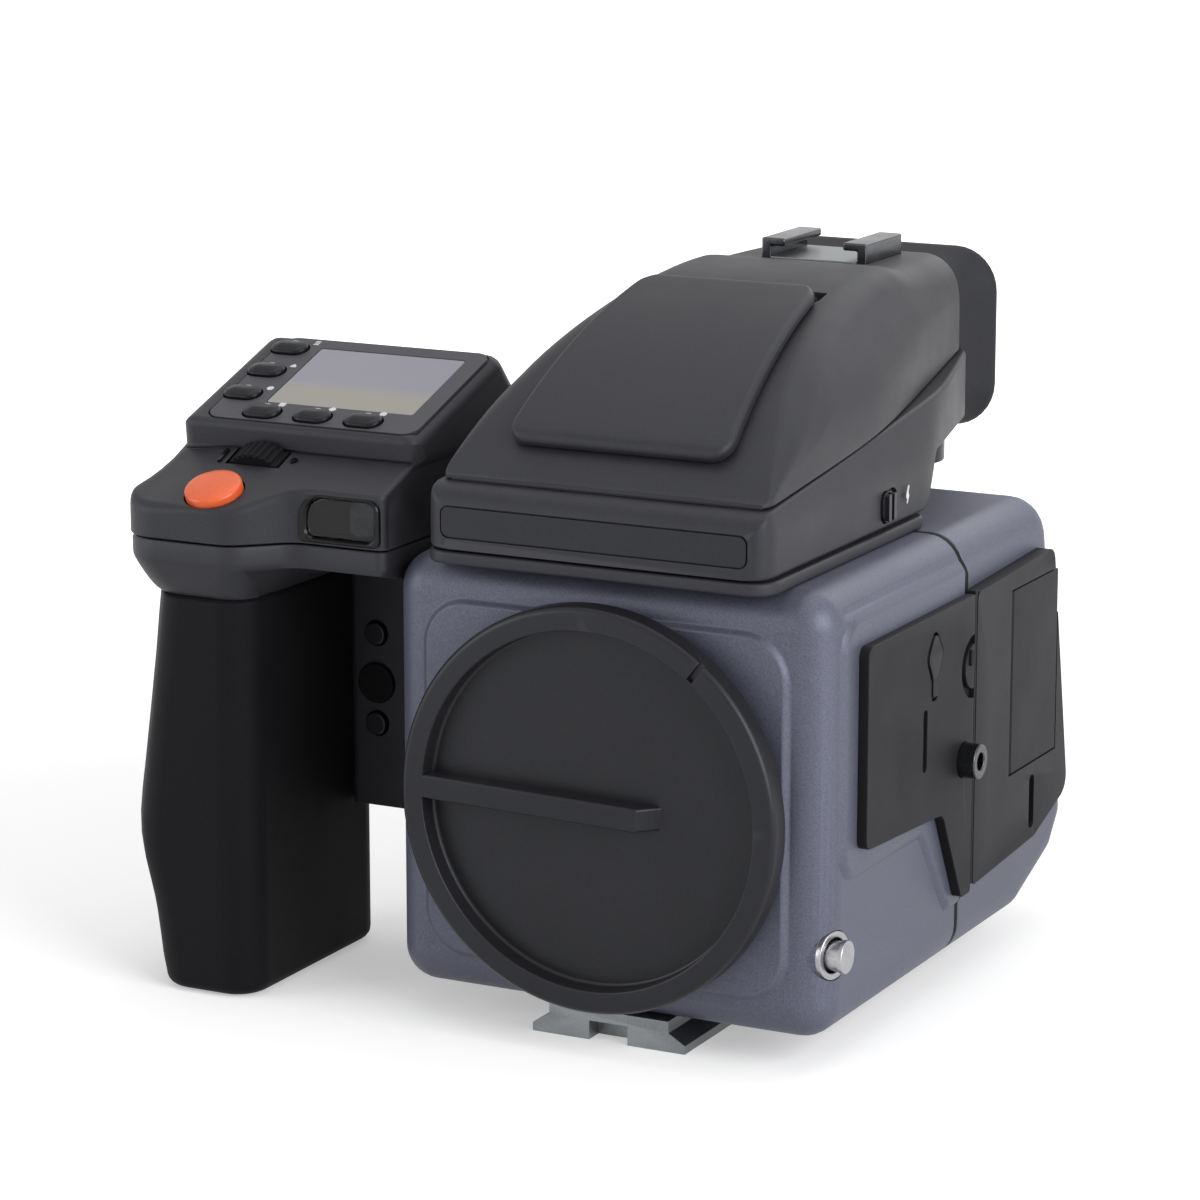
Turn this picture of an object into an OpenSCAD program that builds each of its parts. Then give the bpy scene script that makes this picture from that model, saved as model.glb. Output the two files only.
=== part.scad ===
// Medium format digital camera: body, digital back, prism finder and battery grip.
// The origin is the tripod thread on the bottom face of the quick release plate.
// +X is the camera's left side, +Y its rear and +Z up. All sizes are in millimetres.

/* [Body] */
// Width of the body
body_w = 90; // [84:1:98]
// Height of the body
body_h = 84; // [80:1:92]
// Depth of the body, from its front face to the seam at the back
body_d = 63; // [60:1:70]
// Distance of the front face ahead of the tripod thread
front_reach = 34; // [30:1:38]
// Height of the lens axis above the bottom of the body
lens_height = 41; // [39:0.5:44]
// Radius of the edges round the front face
front_edge_r = 7; // [4:0.5:8]
// Radius of the long edges of the body and the back
long_edge_r = 7; // [4:0.5:8]
// Wall of the body
body_wall = 4; // [3:0.25:4.5]
// Wall behind the lens mount
front_wall = 4; // [3.5:0.25:5]
// Height of the raised square round the lens mount
relief_h = 0.8; // [0.4:0.1:1.5]
// Width of the raised square that shows round the mount ring
relief_over = 1; // [0.5:0.25:2]

/* [Lens mount and cap] */
// Free diameter of the lens throat
throat_d = 63; // [58:0.5:64]
// Width of the mount ring
ring_w = 4.5; // [4:0.25:5.5]
// Depth of the mount ring's seat
ring_seat = 3; // [2:0.25:3.5]
// Height of the mount ring above the front face
ring_proud = 1; // [0.5:0.1:1.5]
// Reach of a bayonet tab into the throat
tab_reach = 1.8; // [1.2:0.1:2.4]
// Angle that a bayonet tab covers
tab_angle = 40; // [25:1:50]
// Number of bayonet tabs
tab_count = 3; // [3:1:4]
// Diameter of the mount screws
mount_screw_d = 2; // [1.6:0.1:2.4]
// Number of mount screws
mount_screw_count = 6; // [4:1:8]
// Overhang of the cap past the mount ring
cap_over = 2.5; // [1.5:0.25:4]
// Depth of the cap in front of the mount ring
cap_h = 5.7; // [4:0.1:8]
// Width of the cap's rim
cap_rim = 4; // [2.5:0.25:5]
// Thickness of the cap's floor
cap_floor = 1.5; // [1:0.1:2]
// Height of the cap's handle bar
cap_bar_h = 4.6; // [3.5:0.1:6]
// Length of the cap's handle bar past the middle of the cap
cap_bar_reach = 10.5; // [4:0.5:20]
// Tilt of the cap's handle bar
cap_bar_tilt = 1.5; // [0:0.5:5]

/* [Lens release] */
// Distance of the release button behind the front face
release_back = 4.8; // [4.5:0.1:8]
// Height of the release button above the bottom of the body
release_height = 16.5; // [12:0.5:20]
// Diameter of the release button
release_d = 6.2; // [5:0.1:7]
// Diameter of the collar round the release button
collar_d = 9.4; // [8.5:0.1:10]
// Height of the release button above the body's side
release_proud = 2.4; // [2:0.1:3.5]
// Travel of the release button
release_travel = 1.5; // [0.5:0.1:1.8]
// Depth of the release button's bore behind the body's side
release_bore = 5; // [4.5:0.25:6]

/* [Reflex mirror] */
// Wall of the mirror box
mirror_box_wall = 2.5; // [2:0.25:3]
// Length of the mirror
mirror_len = 46; // [40:1:47]
// Thickness of the focusing screen
screen_t = 2; // [1.5:0.1:2.5]
// Thickness of the mirror
mirror_t = 2; // [1.5:0.1:2.5]
// Diameter of the mirror's hinge pin
mirror_pin_d = 2.4; // [2:0.1:3]
// Distance of the mirror's hinge ahead of the seam
mirror_hinge_in = 6; // [5.5:0.25:8]
// Distance of the mirror's hinge below the top of the body
mirror_hinge_down = 12; // [11:0.25:14]

/* [Side panel] */
// Height of the raised pad that carries the side panel
pad_h = 1; // [0.5:0.1:2]
// Width of the pad that shows round the side panel
pad_margin = 4; // [2:0.5:5]
// Thickness of the side panel
panel_t = 2; // [1.6:0.1:3]
// Distance of the panel's front edge behind the front face
panel_back = 12.5; // [10:0.5:15]
// Height of the panel's top edge above the bottom of the body
panel_top = 73; // [68:0.5:76]
// Height of the panel's lower edge above the bottom of the body
panel_low = 35; // [30:0.5:40]
// Height of the panel's tongue above the bottom of the body
tongue_low = 14; // [10:0.5:20]
// Width of the foot of the panel's tongue
tongue_foot = 4.5; // [3:0.25:8]
// Width of the root of the panel's tongue
tongue_root = 14.5; // [12:0.5:18]
// Outer diameter of the flash sync socket
sync_d = 6.8; // [6:0.1:8]
// Bore of the flash sync socket
sync_bore_d = 3.5; // [3:0.1:4]
// Height of the flash sync socket above the panel
sync_proud = 3.5; // [2:0.25:5]
// Height of the flash sync socket above the bottom of the body
sync_height = 41.5; // [38:0.5:44]
// Length of the port flap
flap_len = 13; // [10:0.5:14]
// Width of the port flap
flap_w = 7; // [5:0.5:9]

/* [Quick release plate] */
// Thickness of the plate
plate_h = 6; // [5:0.25:8]
// Width of the plate's foot
plate_w = 32; // [28:0.5:40]
// Width of the plate's neck
plate_neck = 25; // [20:0.5:27]
// Length of the plate
plate_len = 58; // [50:1:60]
// Wall diameter of the 1/4 inch thread
thread_small_d = 5.1; // [5:0.05:5.3]
// Wall diameter of the 3/8 inch thread
thread_large_d = 7.94; // [7.8:0.02:8.1]
// Distance between the two threads
thread_pitch = 16; // [12:0.5:20]
// Diameter of the plate's screws
plate_screw_d = 3; // [2.5:0.1:3.5]

/* [Digital back] */
// Width of the seam between body and back
seam = 0.8; // [0.5:0.1:1.5]
// Depth of the back at its top
back_d = 46.4; // [42:0.5:52]
// Lean of the back's rear face
back_lean = 10.8; // [5:0.2:14]
// Height of the rear face's lower end above the bottom of the body
back_low = 15.5; // [12:0.5:20]
// Wall of the back
back_wall = 3.5; // [3:0.25:4.5]
// Width of the rear display
display_w = 64; // [56:1:68]
// Height of the rear display
display_h = 46; // [40:1:48]
// Frame round the rear display
display_frame = 6; // [4:0.5:8]
// Width of a key under the rear display
key_w = 9; // [6:0.5:12]
// Height of a key under the rear display
key_h = 4.4; // [3.5:0.1:5]
// Number of keys under the rear display
key_count = 4; // [2:1:5]
// Travel of a key
key_travel = 0.5; // [0.3:0.1:0.7]
// Length of the card door
door_len = 25; // [20:0.5:27]
// Height of the card door
door_h = 37.5; // [34:0.5:39]
// Height of the card door's lower edge above the bottom of the body
door_low = 32.5; // [29:0.5:36]
// Width of the image sensor
sensor_w = 53.4; // [44:0.2:54]
// Height of the image sensor
sensor_h = 40; // [33:0.5:41]
// Thickness of the sensor's board
board_t = 1.6; // [1:0.1:2]
// Width of the board that shows round the sensor
board_over = 6.5; // [4:0.5:8]
// Depth of the card socket
socket_d = 14; // [10:0.5:16]
// Thickness of a card slot
card_slot = 3.4; // [2.4:0.1:5]
// Diameter of the card door's hinge pin
door_pin_d = 1; // [0.8:0.05:1.1]

/* [Finder] */
// Width of the finder
finder_w = 71; // [66:1:76]
// Overhang of the finder ahead of the front face
finder_front_reach = 4; // [2:0.5:6]
// Length of the finder's foot
finder_len = 74; // [68:1:78]
// Height of the finder's foot
foot_h = 3; // [2:0.25:4]
// Height of the front of the finder's base above its foot
base_front_h = 10.5; // [9:0.5:13]
// Height of the finder above the top of the body
finder_h = 47.5; // [44:0.5:52]
// Radius of the sloping roof
roof_r = 120; // [105:1:150]
// Width of the eyepiece end
eye_w = 47; // [42:1:50]
// Length of the finder from the front of its foot to the eyepiece
eye_len = 121; // [114:1:126]
// Height of the eyepiece's underside above the top of the body
eye_under = 13; // [11:0.5:15]
// Height of the groove's rear end above the top of the body
groove_rise = 27; // [24:0.5:30]
// Width of the groove between base and roof
groove = 0.5; // [0.3:0.1:0.8]
// Width of the prism
prism_w = 48; // [40:1:50]
// Length of the prism
prism_len = 52; // [44:1:53]
// Height of the name plate's bare field
nameplate_h = 5.6; // [4:0.2:7]
// Width of the name plate's bare field
nameplate_w = 62; // [50:1:63]

/* [Flash] */
// Thickness of the flash lid
lid_t = 2.6; // [2:0.1:3.5]
// Width of the flash lid at its lower edge
lid_front_w = 46; // [40:1:50]
// Width of the flash lid at its hinge
lid_rear_w = 36; // [30:1:38]
// Distance of the lid's lower edge behind the front of the finder
lid_start = 11; // [9:0.5:14]
// Distance of the lid's hinge behind the front of the finder
lid_end = 60; // [54:0.5:62]
// Diameter of the lid's hinge pin
lid_pin_d = 1.6; // [1.2:0.1:2]
// Depth of the lid's hinge pin in the roof
lid_pin_deep = 0.6; // [0.5:0.05:0.7]
// Length of the flash lamp
lamp_len = 16; // [12:0.5:18]
// Depth of the flash lamp
lamp_d = 7; // [5:0.25:8]
// Travel of the flash catch
catch_travel = 2; // [1:0.1:2.4]

/* [Accessory shoe and eyepiece] */
// Inner width of the accessory shoe
shoe_w = 18.7; // [18.6:0.02:18.9]
// Opening between the shoe's rails
shoe_gap = 12.6; // [12.5:0.05:13.5]
// Height of the slot under the shoe's rails
shoe_slot = 2.1; // [2.02:0.02:2.3]
// Length of the accessory shoe
shoe_len = 18; // [16:0.5:20]
// Thickness of a shoe rail
shoe_rail = 2; // [1.5:0.1:3]
// Width of the eyecup
eyecup_w = 49; // [44:1:54]
// Height of the eyecup
eyecup_h = 37; // [35:1:40]
// Depth of the eyecup
eyecup_d = 13; // [10:0.5:16]
// Width of the eyepiece window
eye_window_w = 28; // [24:0.5:30]
// Height of the eyepiece window
eye_window_h = 17; // [14:0.5:18]
// Diameter of the dioptre knob
dioptre_d = 13; // [10:0.5:15]
// Height of the dioptre knob
dioptre_h = 6; // [4:0.5:7]

/* [Grip column] */
// Width of the finger gap between the body and the column
finger_gap = 27; // [24:0.5:32]
// Width of the column at its top
column_w = 24.5; // [22:0.5:28]
// Width that the column gains at its lower bulge
column_bulge = 6; // [3:0.5:8]
// Depth of the column
column_d = 51; // [46:1:56]
// Distance of the column's front ahead of the body's front face
column_reach = 7; // [4:0.5:9]
// Height of the column's lower end above the floor
column_low = 0.3; // [0:0.1:2]
// Height of the column's upper end above the bottom of the body
column_top = 72.6; // [68:0.5:75]
// Wall of the column
column_wall = 3; // [2.5:0.25:4]
// Distance of the bridge's face behind the body's front face
bridge_back = 31; // [27:0.5:34]
// Thickness of the bridge
bridge_t = 21; // [16:0.5:24]
// Height of the bridge's lower edge above the bottom of the body
bridge_low = 25; // [20:0.5:30]

/* [Grip head] */
// Height of the chin under the head
chin_h = 11; // [9:0.5:13]
// Thickness of the chin's upright rim
chin_rim = 4; // [3:0.25:5]
// Overhang of the head past the column's outer side
head_over = 3; // [1:0.5:5]
// Height of the head's upright front edge
nose_h = 6.5; // [5:0.25:8]
// Depth of the head, from its nose to its rear face
head_d = 63; // [59:1:66]
// Slope of the surface that carries the shutter button
nose_slope = 22.8; // [18:0.2:26]
// Slope of the display
deck_slope = 18.9; // [14:0.2:22]
// Distance of the display housing behind the nose
deck_back = 20.5; // [19:0.5:22]
// Height of the lip under the display
lip_h = 4.7; // [4:0.1:7]
// Length of the display deck up its slope
deck_len = 36; // [34:0.5:38]
// Width of the display deck
deck_w = 49; // [46:0.5:50]

/* [Grip controls] */
// Diameter of the shutter button
shutter_d = 12; // [10:0.5:12.5]
// Height of the shutter button above the head
shutter_proud = 2; // [1.5:0.1:3]
// Travel of the shutter button
shutter_travel = 1.2; // [0.6:0.1:1.4]
// Distance of the shutter button from the column's outer side
shutter_in = 16.5; // [14:0.5:18]
// Diameter of a control wheel
wheel_d = 14.4; // [13:0.2:15]
// Width of a control wheel
wheel_w = 5.2; // [4:0.2:5.6]
// Height of a control wheel above the head
wheel_proud = 2; // [1.5:0.1:2.4]
// Number of ribs on a control wheel
wheel_ribs = 32; // [24:1:40]
// Diameter of a control wheel's axle
wheel_axle_d = 2.4; // [2:0.1:3]
// Width of a display button
button_w = 7.8; // [6:0.2:8.4]
// Height of a display button
button_h = 4.6; // [3.6:0.2:5]
// Height of a display button above the deck
button_proud = 1.4; // [1:0.1:2]
// Travel of a display button
button_travel = 0.6; // [0.4:0.1:0.8]
// Width of the display window
lcd_w = 32.5; // [28:0.5:33]
// Height of the display window
lcd_h = 22.5; // [18:0.5:23]
// Width of the focus light window
assist_w = 14.5; // [11:0.5:15]
// Height of the focus light window
assist_h = 7.4; // [6:0.2:8]
// Diameter of a push button on the bridge
push_d = 4.6; // [4:0.1:5]
// Diameter of the remote port's cover
port_d = 8; // [7:0.2:8.4]

/* [Clearances] */
// Length of a hinge pin past its piece
pin_end = 2.5; // [1.5:0.25:3]
// Gap round a piece that moves
gap = 0.3; // [0.2:0.05:0.4]
// Radial running clearance of a pin or a shaft
fit = 0.05; // [0.02:0.01:0.1]
// Gap round a piece that is glued or screwed in
seat = 0.1; // [0.05:0.05:0.15]
// Depth left under a button at the end of its travel
spare = 0.25; // [0.2:0.05:0.4]

/* [Hidden] */
$fn = 64;
round_steps = 6;
arc_steps = 14;

front = -front_reach;
rear = front + body_d;
base = plate_h;
top = base + body_h;
side = body_w / 2;
lens_z = base + lens_height;
skin = 1;

cavity_x = side - body_wall;
cavity_front = front + front_wall;
cavity_low = base + body_wall;
cavity_top = top - body_wall;

ring_d = throat_d + 2 * ring_w;
relief_size = ring_d + 2 * relief_over;
cap_d = ring_d + 2 * cap_over;
ring_front = front - ring_proud;
ring_rear = front + ring_seat;
tab_t = 1.8;
tab_rear = ring_rear - gap;
cap_rear = ring_front - gap;
cap_front = cap_rear - cap_h;
collar_r = throat_d / 2 - tab_reach - gap;
lug_reach = tab_reach - 0.2;
lug_t = 1.5;
lug_wall = 3;
notch_w = 1.2;
notch_in = 1.6;
notch_turn = 38;
screw_pitch_r = (ring_d + throat_d) / 4;
mount_screw_len = front_wall + ring_proud - gap;
plate_screw_len = base + body_wall - 0.6;

release_y = front + release_back;
release_z = base + release_height;
collar_proud = 0.9;
release_in = side - release_bore;
release_boss = collar_d / 2 + 1.5;

hinge_y = rear - mirror_hinge_in;
hinge_z = top - mirror_hinge_down;
mirror_tube = mirror_pin_d / 2 + 1.2;
box_x = throat_d / 2 + mirror_box_wall;
box_top = cavity_top - screen_t;
screen_x = box_x - 6;
screen_front = cavity_front + 6;
screen_rear = rear - 8;

pad_x = side + pad_h;
panel_x = pad_x + panel_t;
panel_front = front + panel_back;
panel_hi = base + panel_top;
panel_lo = base + panel_low;
tongue_z = base + tongue_low;
sync_y = rear - 4.5;
sync_z = base + sync_height;
flap_z = base + panel_top - flap_len - 3;
flap_y = panel_front + 31;
flap_t = panel_t / 2;
flap_proud = 0.2;
panel_cut = 0.8;
flap_r = (flap_t + flap_proud) / 2;
stem = 1.2;

back_y = rear + seam;
register_in = 1.5;
lean = tan(back_lean);
back_top_y = back_y + back_d;
back_low_z = base + back_low;
back_low_y = back_top_y + (top - back_low_z) * lean;
rear_mid_z = (top + back_low_z) / 2 + 1;
rear_mid_y = back_top_y + (top - rear_mid_z) * lean;
bezel_w = display_w + 2 * display_frame;
key_band = key_h + 4;
bezel_h = display_h + display_frame + key_band;
bezel_t = 1.6;
bezel_in = 1;
key_room = 2;
key_proud = 0.7;
glass_in = 0.4;
key_z = -bezel_h / 2 + key_band / 2 + 0.5;
key_pitch = bezel_w / (key_count + 0.4);
door_z = base + door_low;
door_y = back_y + 18;
socket_x = side - back_wall;

finder_front = front - finder_front_reach;
finder_back = finder_front + finder_len;
foot_top = top + foot_h;
base_top = foot_top + base_front_h;
ledge_y = finder_front + 4;
ledge_z = base_top + 1.5;
eye_y = finder_front + eye_len;
eye_low = top + eye_under;
groove_z = top + groove_rise;
roof_top = top + finder_h;
roof_start = ledge_z + groove;
roof_rise = roof_top - roof_start;
roof_mid_y = ledge_y + sqrt(2 * roof_r * roof_rise - roof_rise * roof_rise);
roof_mid_z = roof_top - roof_r;
deck_drop = 1.5;
finder_x = finder_w / 2;
eye_x = eye_w / 2;
prism_x = prism_w / 2;
prism_front = finder_front + 14;
prism_rear = prism_front + prism_len;
prism_room = 0.4;
eye_window_z = groove_z - 1;
nameplate_in = 0.6;
nameplate_z = foot_top + 2.3;

lid_y0 = finder_front + lid_start;
lid_y1 = finder_front + lid_end;
lid_in = roof_r + gap;
lid_out = lid_in + lid_t;
lid_pin_z = roof_z(lid_y1, roof_r) - lid_pin_d / 2 - lid_pin_deep;
lid_barrel_r = lid_pin_d / 2 + 0.7;
lid_swing = 1.4;
lamp_y = lid_y0 + 17;
lamp_w = lid_front_w - 14;
lamp_slope = asin((roof_mid_y - lamp_y) / roof_r);
lamp_room = 1.6;
catch_y = finder_front + 54;
catch_z = foot_top + 4.2;
catch_w = 5;
catch_in = 1.4;
catch_rib = 1.2;
catch_h = 5.8;

shoe_y = eye_y - 15.5;
shoe_floor = roof_top - deck_drop + 0.3;
shoe_seat = shoe_floor - 1;
rail_lip = (shoe_w - shoe_gap) / 2;
rail_top = shoe_floor + shoe_slot + 1.6;
dioptre_x = eye_x - 4;
dioptre_y = eye_y - 19;
dioptre_pin_r = 1.5;

column_in = -side - finger_gap;
column_out = column_in - column_w;
column_front = front - column_reach;
column_rear = column_front + column_d;
column_hi = base + column_top;
bulge_x = column_out - column_bulge;
bulge_z = column_low + 24;
cell_x = column_out + column_wall + 3;
cell_y = column_front + column_wall + 5;
cell_z = column_low + column_wall + 1;
cell_rear = column_rear - 2 * column_wall;
bridge_y = front + bridge_back;
bridge_z = base + bridge_low;
chin_low = column_hi + gap;
chin_top = chin_low + chin_h;
head_low = chin_top + 0.4;
head_left = column_out - head_over;
head_right = -side + 0.4;
nose_y = column_front - 3;
nose_z = head_low + nose_h;
head_rear = nose_y + head_d;
wing_y = nose_y + 9;
assist_in = 1.2;
assist_x = -side - 2;
assist_z = head_low + 1.6;
lip_y = nose_y + deck_back;
lip_z = nose_z + deck_back * tan(nose_slope) - 0.3;
deck_y = lip_y - 0.5;
deck_z = lip_z + lip_h;
deck_rear_y = deck_y + deck_len * cos(deck_slope);
deck_rear_z = deck_z + deck_len * sin(deck_slope);
deck_right = head_right + 0.6;
deck_left = deck_right - deck_w;

bezel_rim = 1.4;
bezel_sink = 0.6;
button_well = bezel_sink + 1.6;
button_row = 4.6;
button_column = 3.2;
lcd_x1 = deck_right - bezel_rim - 4;
lcd_x0 = lcd_x1 - lcd_w;
lcd_y0 = button_row + button_h / 2 + 1.8;
button_sites = [
    for (i = [0:2]) [deck_left + bezel_rim + button_column, lcd_y0 + button_h / 2 + lcd_h * i * 0.42],
    for (i = [0:2]) [deck_left + 12.6 + i * 11.2, button_row]];

shutter_x = column_out + shutter_in;
shutter_v = shutter_d / 2 + 0.4;
shutter_sink = 1.2;
shutter_well = shutter_sink + shutter_travel + spare;
wheel_r = wheel_d / 2;
wheel_x = shutter_x + 2.6;
wheel_v = deck_back / cos(nose_slope) - gap - seat - wheel_w / 2;
wheel_down = wheel_r - wheel_proud;
wheel_room = 0.5;
axle_end = 3;
rear_wheel_y = head_rear - wheel_down;
rear_wheel_z = head_low + wheel_r + 2;
push_x = column_in + 6.7;
push_room = 3;
push_proud = 1;
push_travel = 0.8;
port_in = 1;
port_z = bridge_z + 25;
push_sites = [[port_z + 10, "mirror_up_button"], [port_z - 8.2, "stop_down_button"]];

paint = "#666878";
black = "#2c2c2f";
satin = "#3a3a3e";
rubber = "#242426";
glass = "#7d8290";
steel = "#b9bbbf";
alloy = "#a7a9a8";
orange = "#ee6a30";
board = "#2f5d43";

function unit(v) = v / norm(v);
function flat(p) = [p[0], p[1]];
// Points of the arc that rounds corner b between a and c, where b holds x, y and the radius
function corner(a, b, c) =
    let (u = unit(flat(a) - flat(b)), v = unit(flat(c) - flat(b)), r = len(b) > 2 ? b[2] : 0)
    r <= 0 ? [flat(b)] :
    let (half = acos(u * v) / 2,
         mid = flat(b) + unit(u + v) * r / sin(half),
         p = flat(b) + u * r / tan(half) - mid,
         q = flat(b) + v * r / tan(half) - mid,
         start = atan2(p[1], p[0]),
         turn = atan2(p[0] * q[1] - p[1] * q[0], p * q))
    [for (i = [0:round_steps]) mid + r * [cos(start + turn * i / round_steps),
        sin(start + turn * i / round_steps)]];
// Outline with each corner rounded by its own radius
function rounded(p) =
    [for (i = [0:len(p) - 1]) each corner(p[(i + len(p) - 1) % len(p)], p[i], p[(i + 1) % len(p)])];
function rect(x0, y0, x1, y1, r = 0) = rounded([[x0, y0, r], [x1, y0, r], [x1, y1, r], [x0, y1, r]]);
function oval(x, y, w, h) = rect(x - w / 2, y - h / 2, x + w / 2, y + h / 2, min(w, h) / 2 - 0.05);
// Height of an arc of radius r about the middle of the roof, at distance y
function roof_z(y, r) = roof_mid_z + sqrt(r * r - (y - roof_mid_y) * (y - roof_mid_y));
// Points of the roof's arc at radius r, from y0 to y1
function roof_arc(y0, y1, r) =
    [for (i = [0:arc_steps]) let (y = y0 + (y1 - y0) * i / arc_steps) [y, roof_z(y, r)]];
function reversed(p) = [for (i = [len(p) - 1:-1:0]) p[i]];

module bar_x(x0, x1, outline) translate([x0, 0, 0]) rotate([90, 0, 90]) linear_extrude(x1 - x0)
    polygon(outline);
module bar_y(y0, y1, outline) translate([0, y1, 0]) rotate([90, 0, 0]) linear_extrude(y1 - y0)
    polygon(outline);
module bar_z(z0, z1, outline) translate([0, 0, z0]) linear_extrude(z1 - z0) polygon(outline);
module box(lo, hi) translate(lo) cube(hi - lo);
module rod_x(x0, x1, y, z, r) translate([x0, y, z]) rotate([0, 90, 0]) cylinder(h = x1 - x0, r = r);
module rod_y(y0, y1, x, z, r) translate([x, y0, z]) rotate([-90, 0, 0]) cylinder(h = y1 - y0, r = r);
module rod_z(z0, z1, x, y, r) translate([x, y, z0]) cylinder(h = z1 - z0, r = r);
// Ring round the lens axis between two radii, or the part of it that a tab covers
module lens_ring(y0, y1, r0, r1) difference() {
    rod_y(y0, y1, 0, lens_z, r1);
    rod_y(y0 - skin, y1 + skin, 0, lens_z, r0);
}
module lens_tabs(y0, y1, r0, r1) intersection() {
    lens_ring(y0, y1, r0, r1);
    for (i = [0:tab_count - 1])
        translate([0, 0, lens_z]) rotate([0, i * 360 / tab_count, 0])
            bar_y(y0 - skin, y1 + skin, [[0, 0],
                for (s = [-1, 1]) 2 * r1 * [sin(s * tab_angle / 2), cos(tab_angle / 2)]]);
}
module on_rear() translate([0, rear_mid_y, rear_mid_z]) rotate([back_lean, 0, 0]) children();
module on_deck() translate([0, deck_y, deck_z]) rotate([deck_slope, 0, 0]) children();
module on_nose() translate([0, nose_y, nose_z]) rotate([nose_slope, 0, 0]) children();

long_outline = rounded([[-side, base, long_edge_r], [side, base, long_edge_r], [side, top, long_edge_r],
    [-side, top, long_edge_r]]);
panel_outline = rounded([[panel_front, panel_lo, 2], [panel_front, panel_hi, 2], [rear, panel_hi],
    [rear, tongue_z, 1], [rear - tongue_foot, tongue_z, 1.5], [rear - tongue_root, panel_lo - 2, 3]]);
pad_outline = rounded([[panel_front - pad_margin, panel_lo - pad_margin, 4],
    [panel_front - pad_margin, panel_hi + pad_margin, 4], [rear, panel_hi + pad_margin],
    [rear, tongue_z - skin], [rear - tongue_foot - skin, tongue_z - skin, 1],
        [rear - tongue_root - pad_margin, panel_lo - pad_margin, 3]]);
flap_outline = rounded([[flap_y - stem, flap_z, 0.8], [flap_y - stem, flap_z + flap_len * 0.3, 1],
    [flap_y - flap_w / 2, flap_z + flap_len * 0.62, 2], [flap_y, flap_z + flap_len, 1.4],
    [flap_y + flap_w / 2, flap_z + flap_len * 0.62, 2], [flap_y + stem, flap_z + flap_len * 0.3, 1],
        [flap_y + stem, flap_z, 0.8]]);

module body_shell() color(paint) difference() {
    union() {
        intersection() {
            bar_y(front + relief_h, rear, long_outline);
            bar_z(base, top, rounded([[-side, rear], [-side, front + relief_h, front_edge_r],
                [side, front + relief_h, front_edge_r], [side, rear]]));
            bar_x(-side, side, rounded([[front + relief_h, base, front_edge_r], [rear, base],
                [rear, top], [front + relief_h, top, front_edge_r]]));
        }
        bar_y(front, front + relief_h + skin,
            rect(-relief_size / 2, lens_z - relief_size / 2 + 1, relief_size / 2,
            lens_z + relief_size / 2 - 1, 9));
        bar_x(side - skin, pad_x, pad_outline);
    }
    difference() {
        box([-cavity_x, cavity_front, cavity_low], [cavity_x, rear + skin, cavity_top]);
        box([release_in - body_wall, front, release_z - release_boss],
            [side, release_y + release_boss, release_z + release_boss]);
    }
    rod_y(front - skin, cavity_front + skin, 0, lens_z, throat_d / 2);
    rod_y(front - skin, ring_rear, 0, lens_z, ring_d / 2 + fit);
    box([-screen_x, screen_front, cavity_top - skin], [screen_x, screen_rear, top + skin]);
    rod_x(release_in, side + 2 * skin, release_y, release_z, collar_d / 2 + fit);
    rod_x(cavity_x - skin, panel_x, sync_y, sync_z, sync_d / 2 - 0.6 + fit);
    screw_set(fit);
}

// Countersunk screw with its head at the origin, grown by a room all round
module screw(d, length, room)
    rotate_extrude($fn = 32)
        polygon([[0, -room], [0.9 * d + room, -room], [0.9 * d + room, 0.2 * d], [d / 2 + room, 0.6 * d],
            [d / 2 + room, length + room], [0, length + room]]);
module screw_set(room) {
    for (i = [0:mount_screw_count - 1])
        translate([0, 0, lens_z]) rotate([0, (i + 0.5) * 360 / mount_screw_count, 0])
            translate([0, ring_front, screw_pitch_r])
            rotate([-90, 0, 0]) screw(mount_screw_d, mount_screw_len, room);
    for (x = [-1, 1] * (plate_neck / 2 - 5), y = [front + 10, front + plate_len - 4])
        translate([x, y, 0]) screw(plate_screw_d, plate_screw_len, room);
}
module screws() color(steel) screw_set(0);

module mirror_box() color(black) difference() {
    box([-box_x, cavity_front, cavity_low], [box_x, rear - 2, box_top]);
    box([-box_x + mirror_box_wall, cavity_front - skin, cavity_low + mirror_box_wall],
        [box_x - mirror_box_wall, rear, box_top - mirror_box_wall]);
    box([-screen_x, screen_front, box_top - 2 * mirror_box_wall], [screen_x, screen_rear, box_top + skin]);
    rod_x(-box_x - skin, box_x + skin, hinge_y, hinge_z, mirror_pin_d / 2 + fit);
}

module hinge_pins() color(steel) {
    rod_x(-box_x, box_x, hinge_y, hinge_z, mirror_pin_d / 2);
    rod_x(-lid_rear_w / 2 - pin_end, lid_rear_w / 2 + pin_end, lid_y1, lid_pin_z, lid_pin_d / 2);
    rod_z(door_z - pin_end, door_z + door_h + pin_end, pad_x + panel_t / 2, door_y + panel_t / 2 + gap,
        door_pin_d / 2);
}

module reflex_mirror() color(steel) translate([0, hinge_y, hinge_z]) rotate([45, 0, 0]) difference() {
    union() {
        box([-box_x + mirror_box_wall + 1, -mirror_len, -mirror_t / 2],
            [box_x - mirror_box_wall - 1, 0, mirror_t / 2]);
        rod_x(-box_x + mirror_box_wall + 1, box_x - mirror_box_wall - 1, 0, 0, mirror_tube);
    }
    rod_x(-box_x, box_x, 0, 0, mirror_pin_d / 2 + fit);
}

module focusing_screen() color(glass)
    box([-screen_x - 2, screen_front - 2, box_top], [screen_x + 2, screen_rear + 2, cavity_top]);

module lens_mount_ring() color(steel) difference() {
    union() {
        lens_ring(ring_front, ring_rear, throat_d / 2, ring_d / 2);
        lens_tabs(tab_rear - tab_t, tab_rear, throat_d / 2 - tab_reach, throat_d / 2 + skin);
    }
    screw_set(fit);
}

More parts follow.
